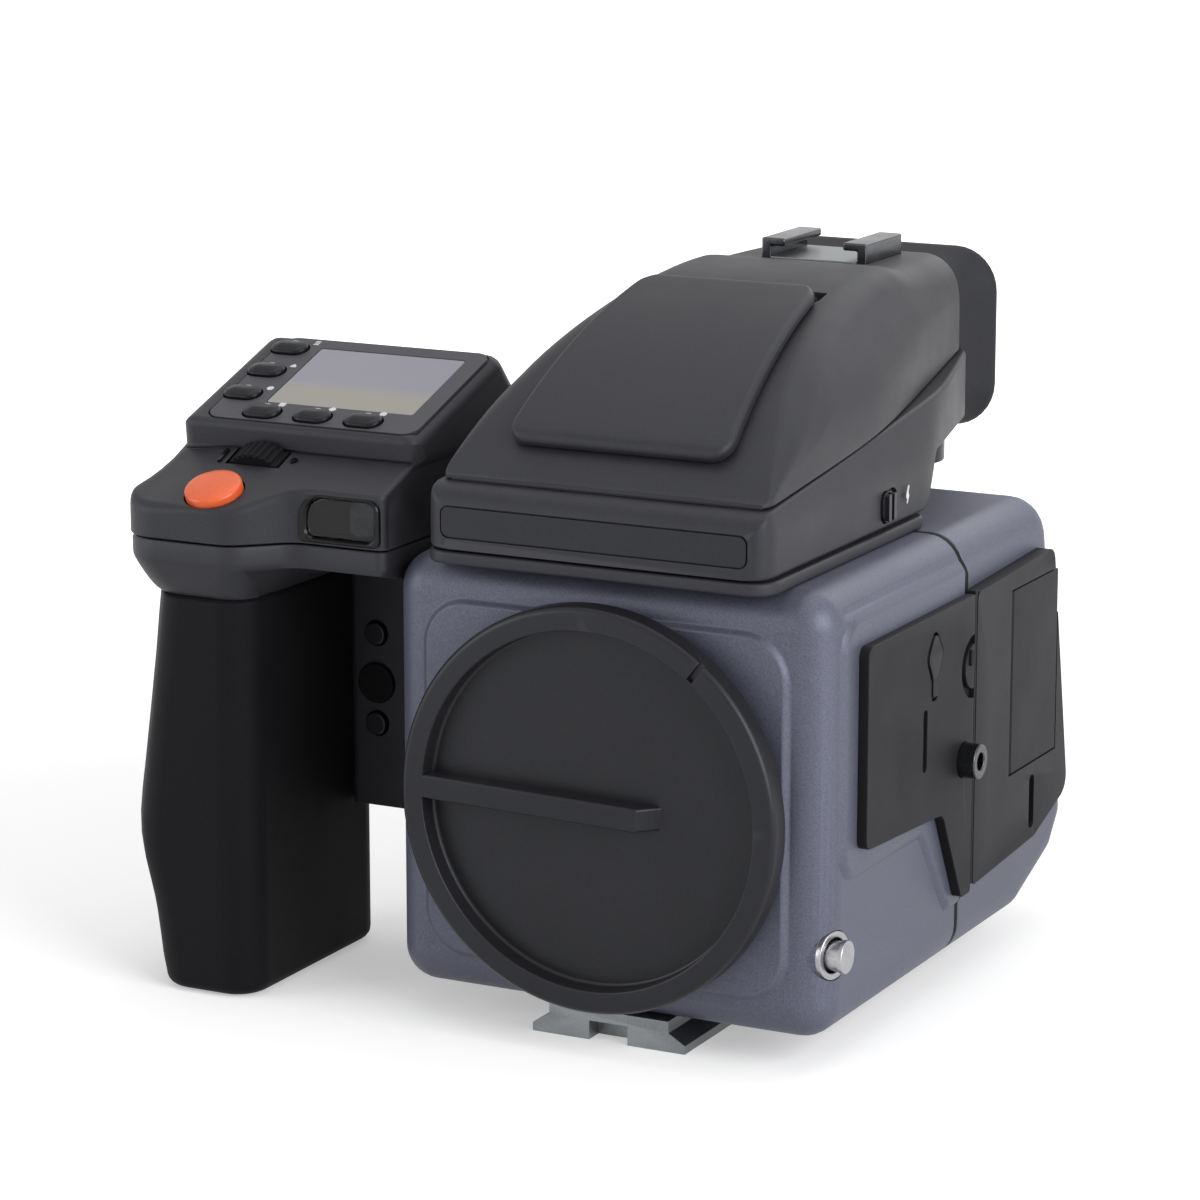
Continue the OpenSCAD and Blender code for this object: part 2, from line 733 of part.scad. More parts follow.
module lens_cap() color(black) {
    difference() {
        lens_ring(cap_front, cap_rear, cap_d / 2 - cap_rim, cap_d / 2);
        translate([0, 0, lens_z]) rotate([0, notch_turn, 0])
            box([-notch_w / 2, cap_front - skin, cap_d / 2 - notch_in],
            [notch_w / 2, cap_front + notch_w, cap_d / 2 + skin]);
    }
    rod_y(cap_rear - cap_floor, cap_rear, 0, lens_z, cap_d / 2 - cap_rim + 0.5);
    lens_ring(cap_rear - seat, tab_rear + gap + lug_t, collar_r - lug_wall, collar_r);
    lens_tabs(tab_rear + gap, tab_rear + gap + lug_t, collar_r - skin, collar_r + lug_reach);
    translate([0, 0, lens_z]) rotate([0, cap_bar_tilt, 0])
        bar_z(-cap_bar_h / 2, cap_bar_h / 2, [[-cap_d / 2 + 2, cap_rear - 0.5], [-cap_d / 2 + 2, cap_front],
            [cap_bar_reach, cap_front], [cap_bar_reach + 4, cap_rear - 0.5]]);
}

module release_collar() color(steel) difference() {
    rod_x(release_in, side + collar_proud, release_y, release_z, collar_d / 2);
    rod_x(release_in - skin, side + 2 * skin, release_y, release_z, release_d / 2 + fit);
}

module release_button() color(steel)
    rod_x(release_in + release_travel + spare, side + release_proud, release_y, release_z, release_d / 2);

module side_panel() color(black) difference() {
    bar_x(pad_x, panel_x, panel_outline);
    rod_x(pad_x - skin, panel_x + skin, sync_y, sync_z, sync_d / 2 + fit);
    bar_x(panel_x - panel_cut, panel_x + skin, oval(flap_y - 4.2, panel_lo + 14.5, 1.8, 12));
    translate([panel_x - 1.2, rear, panel_hi - 14]) rotate([0, 90, 0]) difference() {
        cylinder(h = 2, r = 6.2);
        translate([0, 0, -skin]) cylinder(h = 4, r = 4.4);
        translate([-7, 4, -skin]) cube([14, 8, 4]);
    }
    bar_x(panel_x - flap_t - gap, panel_x + skin,
        [for (p = flap_outline) let (d = p - [flap_y, flap_z + flap_len / 2]) p + unit(d) * 2 * gap]);
}

module port_flap() color(rubber) {
    difference() {
        bar_x(panel_x - flap_t, panel_x + flap_proud, flap_outline);
        box([pad_x, flap_y - flap_w, flap_z - skin], [panel_x + skin, flap_y + flap_w, flap_z + flap_r]);
    }
    rod_y(flap_y - stem, flap_y + stem, panel_x - flap_t + flap_r, flap_z + flap_r, flap_r);
}

module sync_socket() color(black) difference() {
    union() {
        rod_x(pad_x, panel_x + sync_proud, sync_y, sync_z, sync_d / 2);
        rod_x(cavity_x - 0.5, pad_x + 0.5, sync_y, sync_z, sync_d / 2 - 0.6);
    }
    rod_x(panel_x + sync_proud - 5, panel_x + sync_proud + skin, sync_y, sync_z, sync_bore_d / 2);
}

module quick_release_plate() color(alloy) difference() {
    bar_y(front + 3, front + 3 + plate_len,
        [[-plate_w / 2, 0], [plate_w / 2, 0], [plate_w / 2, plate_h * 0.28],
        [plate_neck / 2, plate_h * 0.62],
        [plate_neck / 2, plate_h], [-plate_neck / 2, plate_h], [-plate_neck / 2, plate_h * 0.62],
            [-plate_w / 2, plate_h * 0.28]]);
    box([-4, front, -skin], [4, front + 7, plate_h * 0.62]);
    rod_z(-skin, plate_h + skin, 0, 0, thread_small_d / 2);
    rod_z(-skin, plate_h + skin, 0, thread_pitch, thread_large_d / 2);
    screw_set(fit);
}

// Side outline of the back, moved in by a wall
function back_outline(wall, r) =
    rounded([[back_y + wall, base + wall, min(r, 1.5)], [back_y + wall, top - wall, min(r, 1.5)],
    [back_top_y - wall - wall * lean, top - wall, r],
        [back_low_y - wall - wall * lean, back_low_z + wall * 0.4, r * 0.7],
    [back_low_y - 7 - wall, base + 7 + wall * 0.6, 3], [back_y + 34 - wall, base + wall, 3]]);

module back_shell() color(paint) difference() {
    union() {
        intersection() {
            bar_x(-side, side, back_outline(0, 9));
            bar_y(back_y, back_low_y, long_outline);
            bar_z(base, top, rounded([[-side, back_y], [side, back_y], [side, back_low_y, 5],
                [-side, back_low_y, 5]]));
        }
        bar_y(rear, back_y + skin, rect(-side + register_in, base + register_in, side - register_in,
            top - register_in, long_edge_r - register_in));
    }
    bar_x(-side + back_wall, side - back_wall, back_outline(back_wall, 4));
    box([-sensor_w / 2, rear - skin, lens_z - sensor_h / 2],
        [sensor_w / 2, back_y + 2 * back_wall, lens_z + sensor_h / 2]);
    box([side - back_wall - skin, door_y + 1, door_z + 1],
        [side + skin, door_y + door_len - 2, door_z + door_h - 1]);
    on_rear() bar_y(-bezel_in, 3, rect(-bezel_w / 2 - seat, -bezel_h / 2 - seat, bezel_w / 2 + seat,
        bezel_h / 2 + seat, 4));
    on_rear() for (i = [1:key_count])
        bar_y(-bezel_in - key_room, 0, oval(key_x(i), key_z, key_w + 2 * gap, key_h + 2 * gap));
}
function key_x(i) = (i - (key_count + 1) / 2) * key_pitch;

back_panel_outline = rounded([[back_y + 0.4, tongue_z + 1, 1], [back_y + 0.4, panel_hi, 1.5],
    [back_top_y - 6, panel_hi + 1.5, 3],
    [back_top_y - 6 + (panel_hi - tongue_z - 8) * lean, tongue_z + 9, 4],
        [back_top_y - 14, tongue_z + 3, 4]]);
module back_side_panel() color(black) difference() {
    bar_x(side, pad_x + panel_t, back_panel_outline);
    box([side - skin, door_y, door_z], [panel_x + skin, door_y + door_len, door_z + door_h]);
    bar_x(panel_x - 1.4, panel_x + skin, oval(door_y + 12.5, tongue_z + 10.5, 2.6, 11));
    rod_z(door_z - pin_end - 0.2, door_z + door_h + pin_end + 0.2, pad_x + panel_t / 2,
        door_y + panel_t / 2 + gap, door_pin_d / 2 + fit);
}

module card_door() color(black) {
    r = panel_t / 2;
    y = door_y + gap + r;
    difference() {
        union() {
            box([pad_x, y, door_z + gap], [panel_x, door_y + door_len - gap, door_z + door_h - gap]);
            rod_z(door_z + gap, door_z + door_h - gap, pad_x + r, y, r);
        }
        rod_z(door_z, door_z + door_h, pad_x + r, y, door_pin_d / 2 + fit);
    }
}

module card_socket() color(satin) difference() {
    box([socket_x - socket_d, door_y - skin, door_z - skin],
        [socket_x, door_y + door_len, door_z + door_h + skin]);
    for (y = [0.24, 0.56] * door_len)
        box([socket_x - socket_d + 2, door_y + y, door_z + 6],
            [socket_x + skin, door_y + y + card_slot, door_z + door_h - 6]);
}

module rear_bezel() color(black) on_rear() difference() {
    bar_y(-bezel_in, bezel_t - bezel_in, rect(-bezel_w / 2, -bezel_h / 2, bezel_w / 2, bezel_h / 2, 4));
    bar_y(-bezel_in + glass_in, 3,
        rect(-display_w / 2, bezel_h / 2 - display_frame - display_h, display_w / 2,
        bezel_h / 2 - display_frame, 1));
    for (i = [1:key_count]) bar_y(-3, 3, oval(key_x(i), key_z, key_w + 2 * gap, key_h + 2 * gap));
}
module rear_display() color(glass) on_rear()
    bar_y(-bezel_in + glass_in, bezel_t - bezel_in - 2 * seat,
        rect(-display_w / 2 + seat, bezel_h / 2 - display_frame - display_h + seat,
            display_w / 2 - seat, bezel_h / 2 - display_frame - seat, 1));
module back_key(i) color(satin) on_rear()
    bar_y(-bezel_in - key_room + key_travel + spare, bezel_t - bezel_in + key_proud,
        oval(key_x(i), key_z, key_w, key_h));
module image_sensor() color(glass)
    box([-sensor_w / 2, back_y + skin, lens_z - sensor_h / 2],
        [sensor_w / 2, back_y + back_wall, lens_z + sensor_h / 2]);
module sensor_board() color(board)
    box([-sensor_w / 2 - board_over, back_y + back_wall, lens_z - sensor_h / 2 - board_over],
        [sensor_w / 2 + board_over, back_y + back_wall + board_t, lens_z + sensor_h / 2 + board_over]);

base_plan = rounded([[-finder_x, finder_front, 5], [finder_x, finder_front, 5], [finder_x, finder_back, 12],
    [eye_x, eye_y, 4], [-eye_x, eye_y, 4], [-finder_x, finder_back, 12]]);
roof_plan = rounded([[-finder_x + 1, finder_front, 5], [finder_x - 1, finder_front, 5],
    [finder_x - 1, finder_front + 48, 40],
    [eye_x - 1, eye_y, 6], [-eye_x + 1, eye_y, 6], [-finder_x + 1, finder_front + 48, 40]]);

module finder_foot() color(black) difference() {
    bar_z(top, foot_top - groove, rect(-finder_x, finder_front, finder_x, finder_back, 5));
    box([-screen_x, screen_front, top - skin], [screen_x, screen_rear, foot_top]);
}

// Side outline of the prism, grown by a room all round
function prism_outline(room) =
    [[prism_front - room, foot_top - groove - room], [prism_front - room, foot_top + 4 + room],
    [prism_front + 0.54 * prism_len, groove_z + 4 + room],
    [prism_front + 0.69 * prism_len, groove_z + 4 + room], [prism_rear + room, groove_z - 5 + room],
        [prism_rear + room, foot_top - groove - room]];
module finder_room() {
    bar_x(-prism_x - prism_room, prism_x + prism_room, prism_outline(prism_room));
    bar_y(prism_rear - skin, eye_y + skin,
        rect(-eye_window_w / 2, eye_window_z - eye_window_h / 2, eye_window_w / 2,
        eye_window_z + eye_window_h / 2, 3));
}

module finder_base() color(black) difference() {
    union() {
        bar_z(foot_top - groove, foot_top + skin,
            rect(-finder_x + 2, finder_front + 2, finder_x - 2, finder_back - 2, 4));
        intersection() {
            bar_x(-finder_x, finder_x, rounded([[finder_front, foot_top, 0.5],
                [finder_front, base_top, 3], [ledge_y, ledge_z], [eye_y, groove_z],
                [eye_y, eye_low, 3], [finder_back + 6, eye_low, 4], [finder_back, foot_top, 1]]));
            bar_z(foot_top - skin, roof_top, base_plan);
            bar_y(finder_front - skin, eye_y + skin,
                [[-finder_x, foot_top], [finder_x, foot_top], [finder_x, base_top - 2],
                [finder_x - 6, groove_z + 1], [-finder_x + 6, groove_z + 1], [-finder_x, base_top - 2]]);
        }
    }
    finder_room();
    bar_y(finder_front - skin, finder_front + nameplate_in,
        rect(-nameplate_w / 2 - seat, nameplate_z - seat, nameplate_w / 2 + seat,
        nameplate_z + nameplate_h + seat, 1.5));
    bar_x(finder_x - catch_in, finder_x + skin,
        rect(catch_y - catch_w / 2 - gap, catch_z - catch_h / 2 - gap,
        catch_y + catch_w / 2 + catch_travel + gap, catch_z + catch_h / 2 + gap, 2));
    rod_z(eye_low - skin, eye_low + 4, dioptre_x, dioptre_y, dioptre_pin_r + fit);
}

module nameplate() color(black)
    bar_y(finder_front - seat, finder_front + nameplate_in,
        rect(-nameplate_w / 2, nameplate_z, nameplate_w / 2, nameplate_z + nameplate_h, 1.5));

module finder_roof() color(black) difference() {
    intersection() {
        bar_x(-finder_x, finder_x, concat([[eye_y, groove_z + groove], [ledge_y, roof_start]],
            roof_arc(ledge_y + 1, roof_mid_y, roof_r),
            rounded([[roof_mid_y + 8, roof_top - deck_drop], [eye_y, roof_top - deck_drop, 5],
                [eye_y, groove_z + groove]])));
        bar_z(foot_top, roof_top + skin, roof_plan);
        bar_y(finder_front - skin, eye_y + skin,
            rounded([[-finder_x + 1, base_top], [finder_x - 1, base_top], [finder_x - 2, groove_z, 12],
            [finder_x - 15, roof_top + 1, 8], [-finder_x + 15, roof_top + 1, 8],
                [-finder_x + 2, groove_z, 12]]));
    }
    finder_room();
    box([-lid_rear_w / 2 - gap, lid_y1 - lid_barrel_r - 0.6, lid_pin_z - lid_barrel_r - 0.6],
        [lid_rear_w / 2 + gap, lid_y1 + lid_barrel_r + lid_swing, roof_top + skin]);
    rod_x(-lid_rear_w / 2 - pin_end - 0.2, lid_rear_w / 2 + pin_end + 0.2, lid_y1, lid_pin_z,
        lid_pin_d / 2 + fit);
    lamp_block(lamp_room, 3);
    box([-shoe_w / 2 - shoe_rail - seat, shoe_y - shoe_len / 2 - seat, shoe_seat],
        [shoe_w / 2 + shoe_rail + seat, shoe_y + shoe_len / 2 + seat, roof_top + skin]);
}

module pentaprism() color(glass) bar_x(-prism_x, prism_x, prism_outline(0));

module lamp_block(room, rise)
    translate([0, lamp_y, roof_z(lamp_y, roof_r)]) rotate([lamp_slope, 0, 0])
        box([-lamp_w / 2 - room, -lamp_len / 2 - room, -lamp_d - room],
            [lamp_w / 2 + room, lamp_len / 2 + room, rise]);

module flash_lid() color(black) difference() {
    union() {
        intersection() {
            bar_x(-finder_x, finder_x, concat(roof_arc(lid_y0, lid_y1, lid_in),
                reversed(roof_arc(lid_y0 - 1, lid_y1, lid_out))));
            bar_z(base_top, roof_top + 9, rounded([[-lid_front_w / 2, lid_y0 - 1, 3],
                [lid_front_w / 2, lid_y0 - 1, 3], [lid_rear_w / 2, lid_y1, 2],
                [-lid_rear_w / 2, lid_y1, 2]]));
        }
        rod_x(-lid_rear_w / 2 + 1, lid_rear_w / 2 - 1, lid_y1, lid_pin_z, lid_barrel_r);
        box([-lid_rear_w / 2 + 1, lid_y1 - lid_barrel_r, lid_pin_z],
            [lid_rear_w / 2 - 1, lid_y1, lid_pin_z + lid_barrel_r + 0.4]);
    }
    rod_x(-lid_rear_w, lid_rear_w, lid_y1, lid_pin_z, lid_pin_d / 2 + fit);
}

module flash_lamp() color(glass) intersection() {
    lamp_block(0, 3);
    bar_x(-finder_x, finder_x, concat(roof_arc(lid_y0, lid_y1, lid_in - 0.05),
        [[lid_y1, foot_top], [lid_y0, foot_top]]));
}

module flash_catch() color(satin) {
    bar_x(finder_x - catch_in + gap, finder_x - 2 * seat,
        rect(catch_y - catch_w / 2, catch_z - catch_h / 2, catch_y + catch_w / 2, catch_z + catch_h / 2,
        2));
    for (s = [-1, 1]) bar_x(finder_x - 0.6, finder_x + 0.7,
        oval(catch_y + s * catch_rib, catch_z, catch_rib, catch_h - 0.6));
}

module shoe_rails() color(steel) for (s = [-1, 1])
    bar_y(shoe_y - shoe_len / 2, shoe_y + shoe_len / 2,
        [for (p = [[shoe_w / 2, shoe_seat], [shoe_w / 2 + shoe_rail, shoe_seat],
        [shoe_w / 2 + shoe_rail, rail_top],
        [shoe_w / 2 - rail_lip, rail_top], [shoe_w / 2 - rail_lip, shoe_floor + shoe_slot],
            [shoe_w / 2, shoe_floor + shoe_slot]]) [s * p[0], p[1]]]);
module shoe_plate() color(alloy)
    box([-shoe_w / 2, shoe_y - shoe_len / 2, shoe_seat], [shoe_w / 2, shoe_y + shoe_len / 2, shoe_floor]);

module eyepiece_lens() color(glass)
    bar_y(eye_y - 5, eye_y - 2, rect(-eye_window_w / 2 + seat, eye_window_z - eye_window_h / 2 + seat,
    eye_window_w / 2 - seat, eye_window_z + eye_window_h / 2 - seat, 3));

module eyecup_slab(y, t, w, h, r) translate([0, y, eye_window_z + 1])
    bar_y(0, t, rect(-w / 2, -h / 2, w / 2, h / 2, r));
module eyecup() color(rubber) difference() {
    hull() {
        eyecup_slab(eye_y, 1, eye_w - 8, eyecup_h - 8, 6);
        eyecup_slab(eye_y + eyecup_d - 2.5, 2.5, eyecup_w, eyecup_h, 9);
    }
    hull() {
        eyecup_slab(eye_y + 1.5, 1, eye_w - 14, eyecup_h - 14, 5);
        eyecup_slab(eye_y + eyecup_d, 1, eyecup_w - 4, eyecup_h - 4, 8);
    }
    eyecup_slab(eye_y - skin, 4, eye_window_w + 1, eye_window_h + 1, 4);
}

module dioptre_knob() color(satin) {
    rod_z(eye_low - gap - dioptre_h, eye_low - gap, dioptre_x, dioptre_y, dioptre_d / 2);
    rod_z(eye_low - skin, eye_low + 3.5, dioptre_x, dioptre_y, dioptre_pin_r);
}

// Thin section of the column at height z, out to x
module column_slice(z, x, r) bar_z(z, z + 0.1,
    rounded([[column_in, column_front, 7], [column_in, column_rear, 7], [x, column_rear, r],
    [x, column_front, r + 2]]));
module battery_grip() color(rubber) difference() {
    hull() {
        column_slice(column_low, column_out - 1, 8);
        column_slice(column_low + 4, column_out - 0.5 * column_bulge, 9);
        column_slice(bulge_z, bulge_x, 10);
        column_slice(bulge_z + 18, bulge_x + 0.25 * column_bulge, 10);
        column_slice(column_hi - 0.1, column_out, 9);
    }
    box([cell_x, cell_y, cell_z], [column_in - column_wall, cell_rear, column_hi + skin]);
}
module battery_cell() color(satin)
    box([cell_x + 2 * seat, cell_y + 2 * seat, cell_z],
        [column_in - column_wall - 2 * seat, cell_rear - 2 * seat, column_hi - skin]);

module grip_bridge() color(black) difference() {
    bar_z(bridge_z, chin_low, rounded([[column_in + 0.4, bridge_y, 2], [-side, bridge_y],
        [-side, bridge_y + bridge_t], [column_in + 0.4, bridge_y + bridge_t, 3]]));
    for (s = push_sites) rod_y(bridge_y - skin, bridge_y + push_room, push_x, s[0], push_d / 2 + gap);
    rod_y(bridge_y - skin, bridge_y + port_in, push_x, port_z, port_d / 2 + seat);
}
module push_button(z) color(satin)
    rod_y(bridge_y - push_proud, bridge_y + push_room - push_travel - spare, push_x, z, push_d / 2);
module mirror_up_button() push_button(push_sites[0][0]);
module stop_down_button() push_button(push_sites[1][0]);
module remote_port() color(rubber)
    rod_y(bridge_y - 0.8 * port_in, bridge_y + port_in, push_x, port_z, port_d / 2);

head_plan = rounded([[head_left + 1.5, head_rear, 8], [head_left, nose_y, 9], [column_in, nose_y, 6],
    [column_in + 9, wing_y, 6],
    [-side, wing_y, 2], [-side, head_rear, 3]]);
module grip_chin() color(black) intersection() {
    union() {
        bar_z(chin_top - chin_rim, chin_top, head_plan);
        hull() {
            bar_z(chin_top - chin_rim - 0.1, chin_top - chin_rim, head_plan);
            bar_z(chin_low, chin_low + 0.1,
                rounded([[column_in, column_front + 1, 6], [-side, bridge_y], [-side, column_rear],
                [column_out + 1, column_rear, 8], [column_out + 1, column_front + 1, 9]]));
        }
    }
    box([head_left - skin, nose_y - skin, chin_low], [-side, head_rear + skin, chin_top]);
}

deck_outline = [[lip_y, lip_z - 2], [lip_y, lip_z, 0.5], [deck_y, deck_z, 1], [deck_rear_y, deck_rear_z, 4],
    [head_rear, deck_rear_z - 10, 5], [head_rear, lip_z - 2]];
module grip_head() color(black) difference() {
    union() {
        intersection() {
            bar_x(head_left - skin, head_right,
                rounded([[nose_y, head_low], [nose_y, nose_z, 2],
                [lip_y + 4, nose_z + (deck_back + 4) * tan(nose_slope)],
                [head_rear, nose_z + (deck_back + 4) * tan(nose_slope), 3], [head_rear, head_low]]));
            bar_z(head_low, deck_rear_z, head_plan);
        }
        intersection() {
            bar_x(deck_left, deck_right, rounded(deck_outline));
            bar_z(head_low, deck_rear_z + skin,
                rounded([[deck_left, lip_y - skin, 5], [deck_right, lip_y - skin, 5],
                [deck_right, head_rear, 6], [deck_left, head_rear, 6]]));
        }
    }
    on_deck() bar_z(-bezel_sink, 3, bezel_outline(seat));
    on_deck() for (p = button_sites)
        bar_z(-button_well, 0, oval(p[0], p[1], button_w + 2 * gap, button_h + 2 * gap));
    on_nose() rod_z(-shutter_well, 9, shutter_x, shutter_v, shutter_d / 2 + gap);
    at_front_wheel() wheel_slot();
    at_rear_wheel() wheel_slot();
    bar_y(wing_y - skin, wing_y + assist_in, assist_outline(seat));
}
function bezel_outline(room) =
    rect(deck_left + bezel_rim - room, bezel_rim - room, deck_right - bezel_rim + room,
    deck_len - bezel_rim + room, 3);
// Outline of the focus light window, arched at its outer top corner and grown by a room
function assist_outline(room) = rounded([[assist_x - assist_w - room, assist_z - room, 1.5],
    [assist_x + room, assist_z - room, 1.5],
    [assist_x + room, assist_z + assist_h + room, 1.5],
    [assist_x - assist_w - room, assist_z + assist_h + room, 4]]);

module lcd_bezel() color(satin) on_deck() difference() {
    bar_z(-bezel_sink, 2 * seat, bezel_outline(0));
    bar_z(-skin, skin, rect(lcd_x0, lcd_y0, lcd_x1, lcd_y0 + lcd_h, 0.6));
    for (p = button_sites) bar_z(-skin, skin, oval(p[0], p[1], button_w + 2 * gap, button_h + 2 * gap));
}
module lcd_window() color(glass) on_deck()
    bar_z(-bezel_sink, seat, rect(lcd_x0 + seat, lcd_y0 + seat, lcd_x1 - seat, lcd_y0 + lcd_h - seat, 0.6));
module display_button(i) color(rubber) on_deck()
    bar_z(-button_well + button_travel + spare, button_proud,
        oval(button_sites[i - 1][0], button_sites[i - 1][1], button_w, button_h));
module assist_window() color(glass) bar_y(wing_y - seat, wing_y + assist_in, assist_outline(0));

module shutter_button() color(orange) on_nose()
    rod_z(-shutter_sink, shutter_proud, shutter_x, shutter_v, shutter_d / 2);

// Places of the control wheels, with the axle along z: the front one lies along the nose's slope
module at_front_wheel() on_nose() translate([wheel_x, wheel_v, -wheel_down]) rotate([-90, 0, 0]) children();
module at_rear_wheel() translate([wheel_x, rear_wheel_y, rear_wheel_z]) children();
module wheel_axle(room, end) rod_z(-wheel_w / 2 - end, wheel_w / 2 + end, 0, 0, wheel_axle_d / 2 + room);
module wheel_slot() {
    rod_z(-wheel_w / 2 - gap, wheel_w / 2 + gap, 0, 0, wheel_r + wheel_room);
    wheel_axle(fit, axle_end + 2 * seat);
}
module wheel() color(satin) difference() {
    translate([0, 0, -wheel_w / 2]) linear_extrude(wheel_w)
        polygon([for (i = [0:4 * wheel_ribs - 1])
            (wheel_r - (i % 4 < 2 ? 0 : 0.5)) * [cos(i * 90 / wheel_ribs), sin(i * 90 / wheel_ribs)]]);
    wheel_axle(fit, axle_end);
}
module front_wheel() at_front_wheel() wheel();
module rear_wheel() at_rear_wheel() wheel();
module wheel_axles() color(steel) {
    at_front_wheel() wheel_axle(0, axle_end);
    at_rear_wheel() wheel_axle(0, axle_end);
}

body_shell();
mirror_box();
hinge_pins();
reflex_mirror();
focusing_screen();
lens_mount_ring();
screws();
lens_cap();
release_collar();
release_button();
side_panel();
port_flap();
sync_socket();
quick_release_plate();
back_shell();
back_side_panel();
card_door();
card_socket();
rear_bezel();
rear_display();
for (i = [1:key_count]) back_key(i);
image_sensor();
sensor_board();
finder_foot();
finder_base();
finder_roof();
nameplate();
pentaprism();
flash_lid();
flash_lamp();
flash_catch();
shoe_rails();
shoe_plate();
eyepiece_lens();
eyecup();
dioptre_knob();
battery_grip();
battery_cell();
grip_bridge();
grip_chin();
grip_head();
lcd_bezel();
lcd_window();
assist_window();
shutter_button();
front_wheel();
rear_wheel();
wheel_axles();
mirror_up_button();
stop_down_button();
remote_port();
for (i = [1:6]) display_button(i);
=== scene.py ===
"""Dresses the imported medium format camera: soft mouldings, finishes, a white studio and a view."""

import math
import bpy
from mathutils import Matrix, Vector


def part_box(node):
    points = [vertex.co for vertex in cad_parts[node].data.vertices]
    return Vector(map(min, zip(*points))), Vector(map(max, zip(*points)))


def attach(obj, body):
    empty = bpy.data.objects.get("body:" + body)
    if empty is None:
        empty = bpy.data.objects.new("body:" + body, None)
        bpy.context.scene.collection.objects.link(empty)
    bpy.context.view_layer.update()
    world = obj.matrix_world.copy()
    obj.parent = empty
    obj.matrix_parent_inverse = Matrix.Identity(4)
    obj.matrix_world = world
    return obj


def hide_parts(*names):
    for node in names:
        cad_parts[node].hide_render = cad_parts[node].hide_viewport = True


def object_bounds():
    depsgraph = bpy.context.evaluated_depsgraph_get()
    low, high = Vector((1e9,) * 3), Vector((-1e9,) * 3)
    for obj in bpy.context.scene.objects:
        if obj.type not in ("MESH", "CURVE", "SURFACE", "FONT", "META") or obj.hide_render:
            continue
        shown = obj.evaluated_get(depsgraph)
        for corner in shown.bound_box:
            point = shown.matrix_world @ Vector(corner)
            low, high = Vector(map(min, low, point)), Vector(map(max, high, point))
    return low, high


bl_info = {
    "name": "Medium format camera",
    "version": (1, 0, 0),
    "blender": (4, 5, 0),
    "location": "View3D > Sidebar > Camera",
    "description": "Builds the outer mouldings and finishes of a modular medium format camera",
    "category": "Object",
}

import bmesh
import bpy
from bpy.props import FloatProperty, FloatVectorProperty, PointerProperty
from mathutils import Vector

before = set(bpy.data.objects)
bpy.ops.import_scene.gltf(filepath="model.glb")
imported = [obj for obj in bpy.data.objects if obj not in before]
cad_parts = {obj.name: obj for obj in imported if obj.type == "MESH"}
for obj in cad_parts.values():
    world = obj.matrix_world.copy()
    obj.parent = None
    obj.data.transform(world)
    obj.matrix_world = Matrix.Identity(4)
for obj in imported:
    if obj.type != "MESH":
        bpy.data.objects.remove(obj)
CAD_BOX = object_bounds()
MM = 0.001


def corners_of(node):
    """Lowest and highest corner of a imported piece, in millimetres."""
    low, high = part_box(node)
    return low / MM, high / MM


def middle_of(node):
    low, high = corners_of(node)
    return (low + high) / 2


# Sizes and places are in millimetres: the lens looks along -y, the grip is at -x and z is up.
BODY_LOW, BODY_HIGH = corners_of("body_shell")
BACK_LOW, BACK_HIGH = corners_of("back_shell")
PANEL_LOW, PANEL_HIGH = corners_of("side_panel")
CAP_LOW, CAP_HIGH = corners_of("lens_cap")
FOOT_HIGH = corners_of("finder_foot")[1]
BASE_LOW, BASE_HIGH = corners_of("finder_base")
ROOF_LOW, ROOF_HIGH = corners_of("finder_roof")
COLUMN_LOW, COLUMN_HIGH = corners_of("battery_grip")
CHIN_LOW, CHIN_HIGH = corners_of("grip_chin")
HEAD_LOW, HEAD_HIGH = corners_of("grip_head")
WINDOW_LOW, WINDOW_HIGH = corners_of("assist_window")
SIDE = BACK_HIGH.x
REAR = BODY_HIGH.y
LENS_Z = (CAP_LOW.z + CAP_HIGH.z) / 2

# The seam between body and back, from the body's cut to the back's cut.
SEAM_FRONT, SEAM_REAR = REAR - 0.4, REAR + 1.2
# Radius and middle of the arch that the finder's roof and lid follow.
ROOF_R, ROOF_Y, ROOF_Z = 120.0, 47.584, 17.5
# Sloping faces: a point (y, z) of each and its slope.
REAR_FACE, BACK_LEAN = (82.543, 56.75), math.radians(10.8)
DECK, DECK_SLOPE = (-24.0, 109.817), math.radians(18.9)
NOSE, NOSE_SLOPE = (HEAD_LOW.y, 96.8), math.radians(22.8)

# How far a cutting tool runs past what it cuts, and a step that keeps two faces out of one plane.
PAST, CLEAR = 2.0, 0.1
# Radius that closes a turned profile at its axis, corner of square tools, and a place beyond every end.
AXIS_R, TOOL_R, FAR = 0.05, 0.05, 999.0


def linear(code):
    """Linear colour of an sRGB hex code."""
    parts = [int(code[i:i + 2], 16) / 255 for i in (1, 3, 5)]
    return tuple(c / 12.92 if c <= 0.04045 else ((c + 0.055) / 1.055) ** 2.4 for c in parts)


def colour(name, description, code):
    """Colour setting with an sRGB hex code as its default."""
    return FloatVectorProperty(
        name=name, description=description, subtype="COLOR", size=3, min=0, max=1, default=linear(code))


def length(name, description, mm):
    """Length setting with its default in millimetres."""
    return FloatProperty(name=name, description=description, unit="LENGTH", min=0, default=mm * MM)


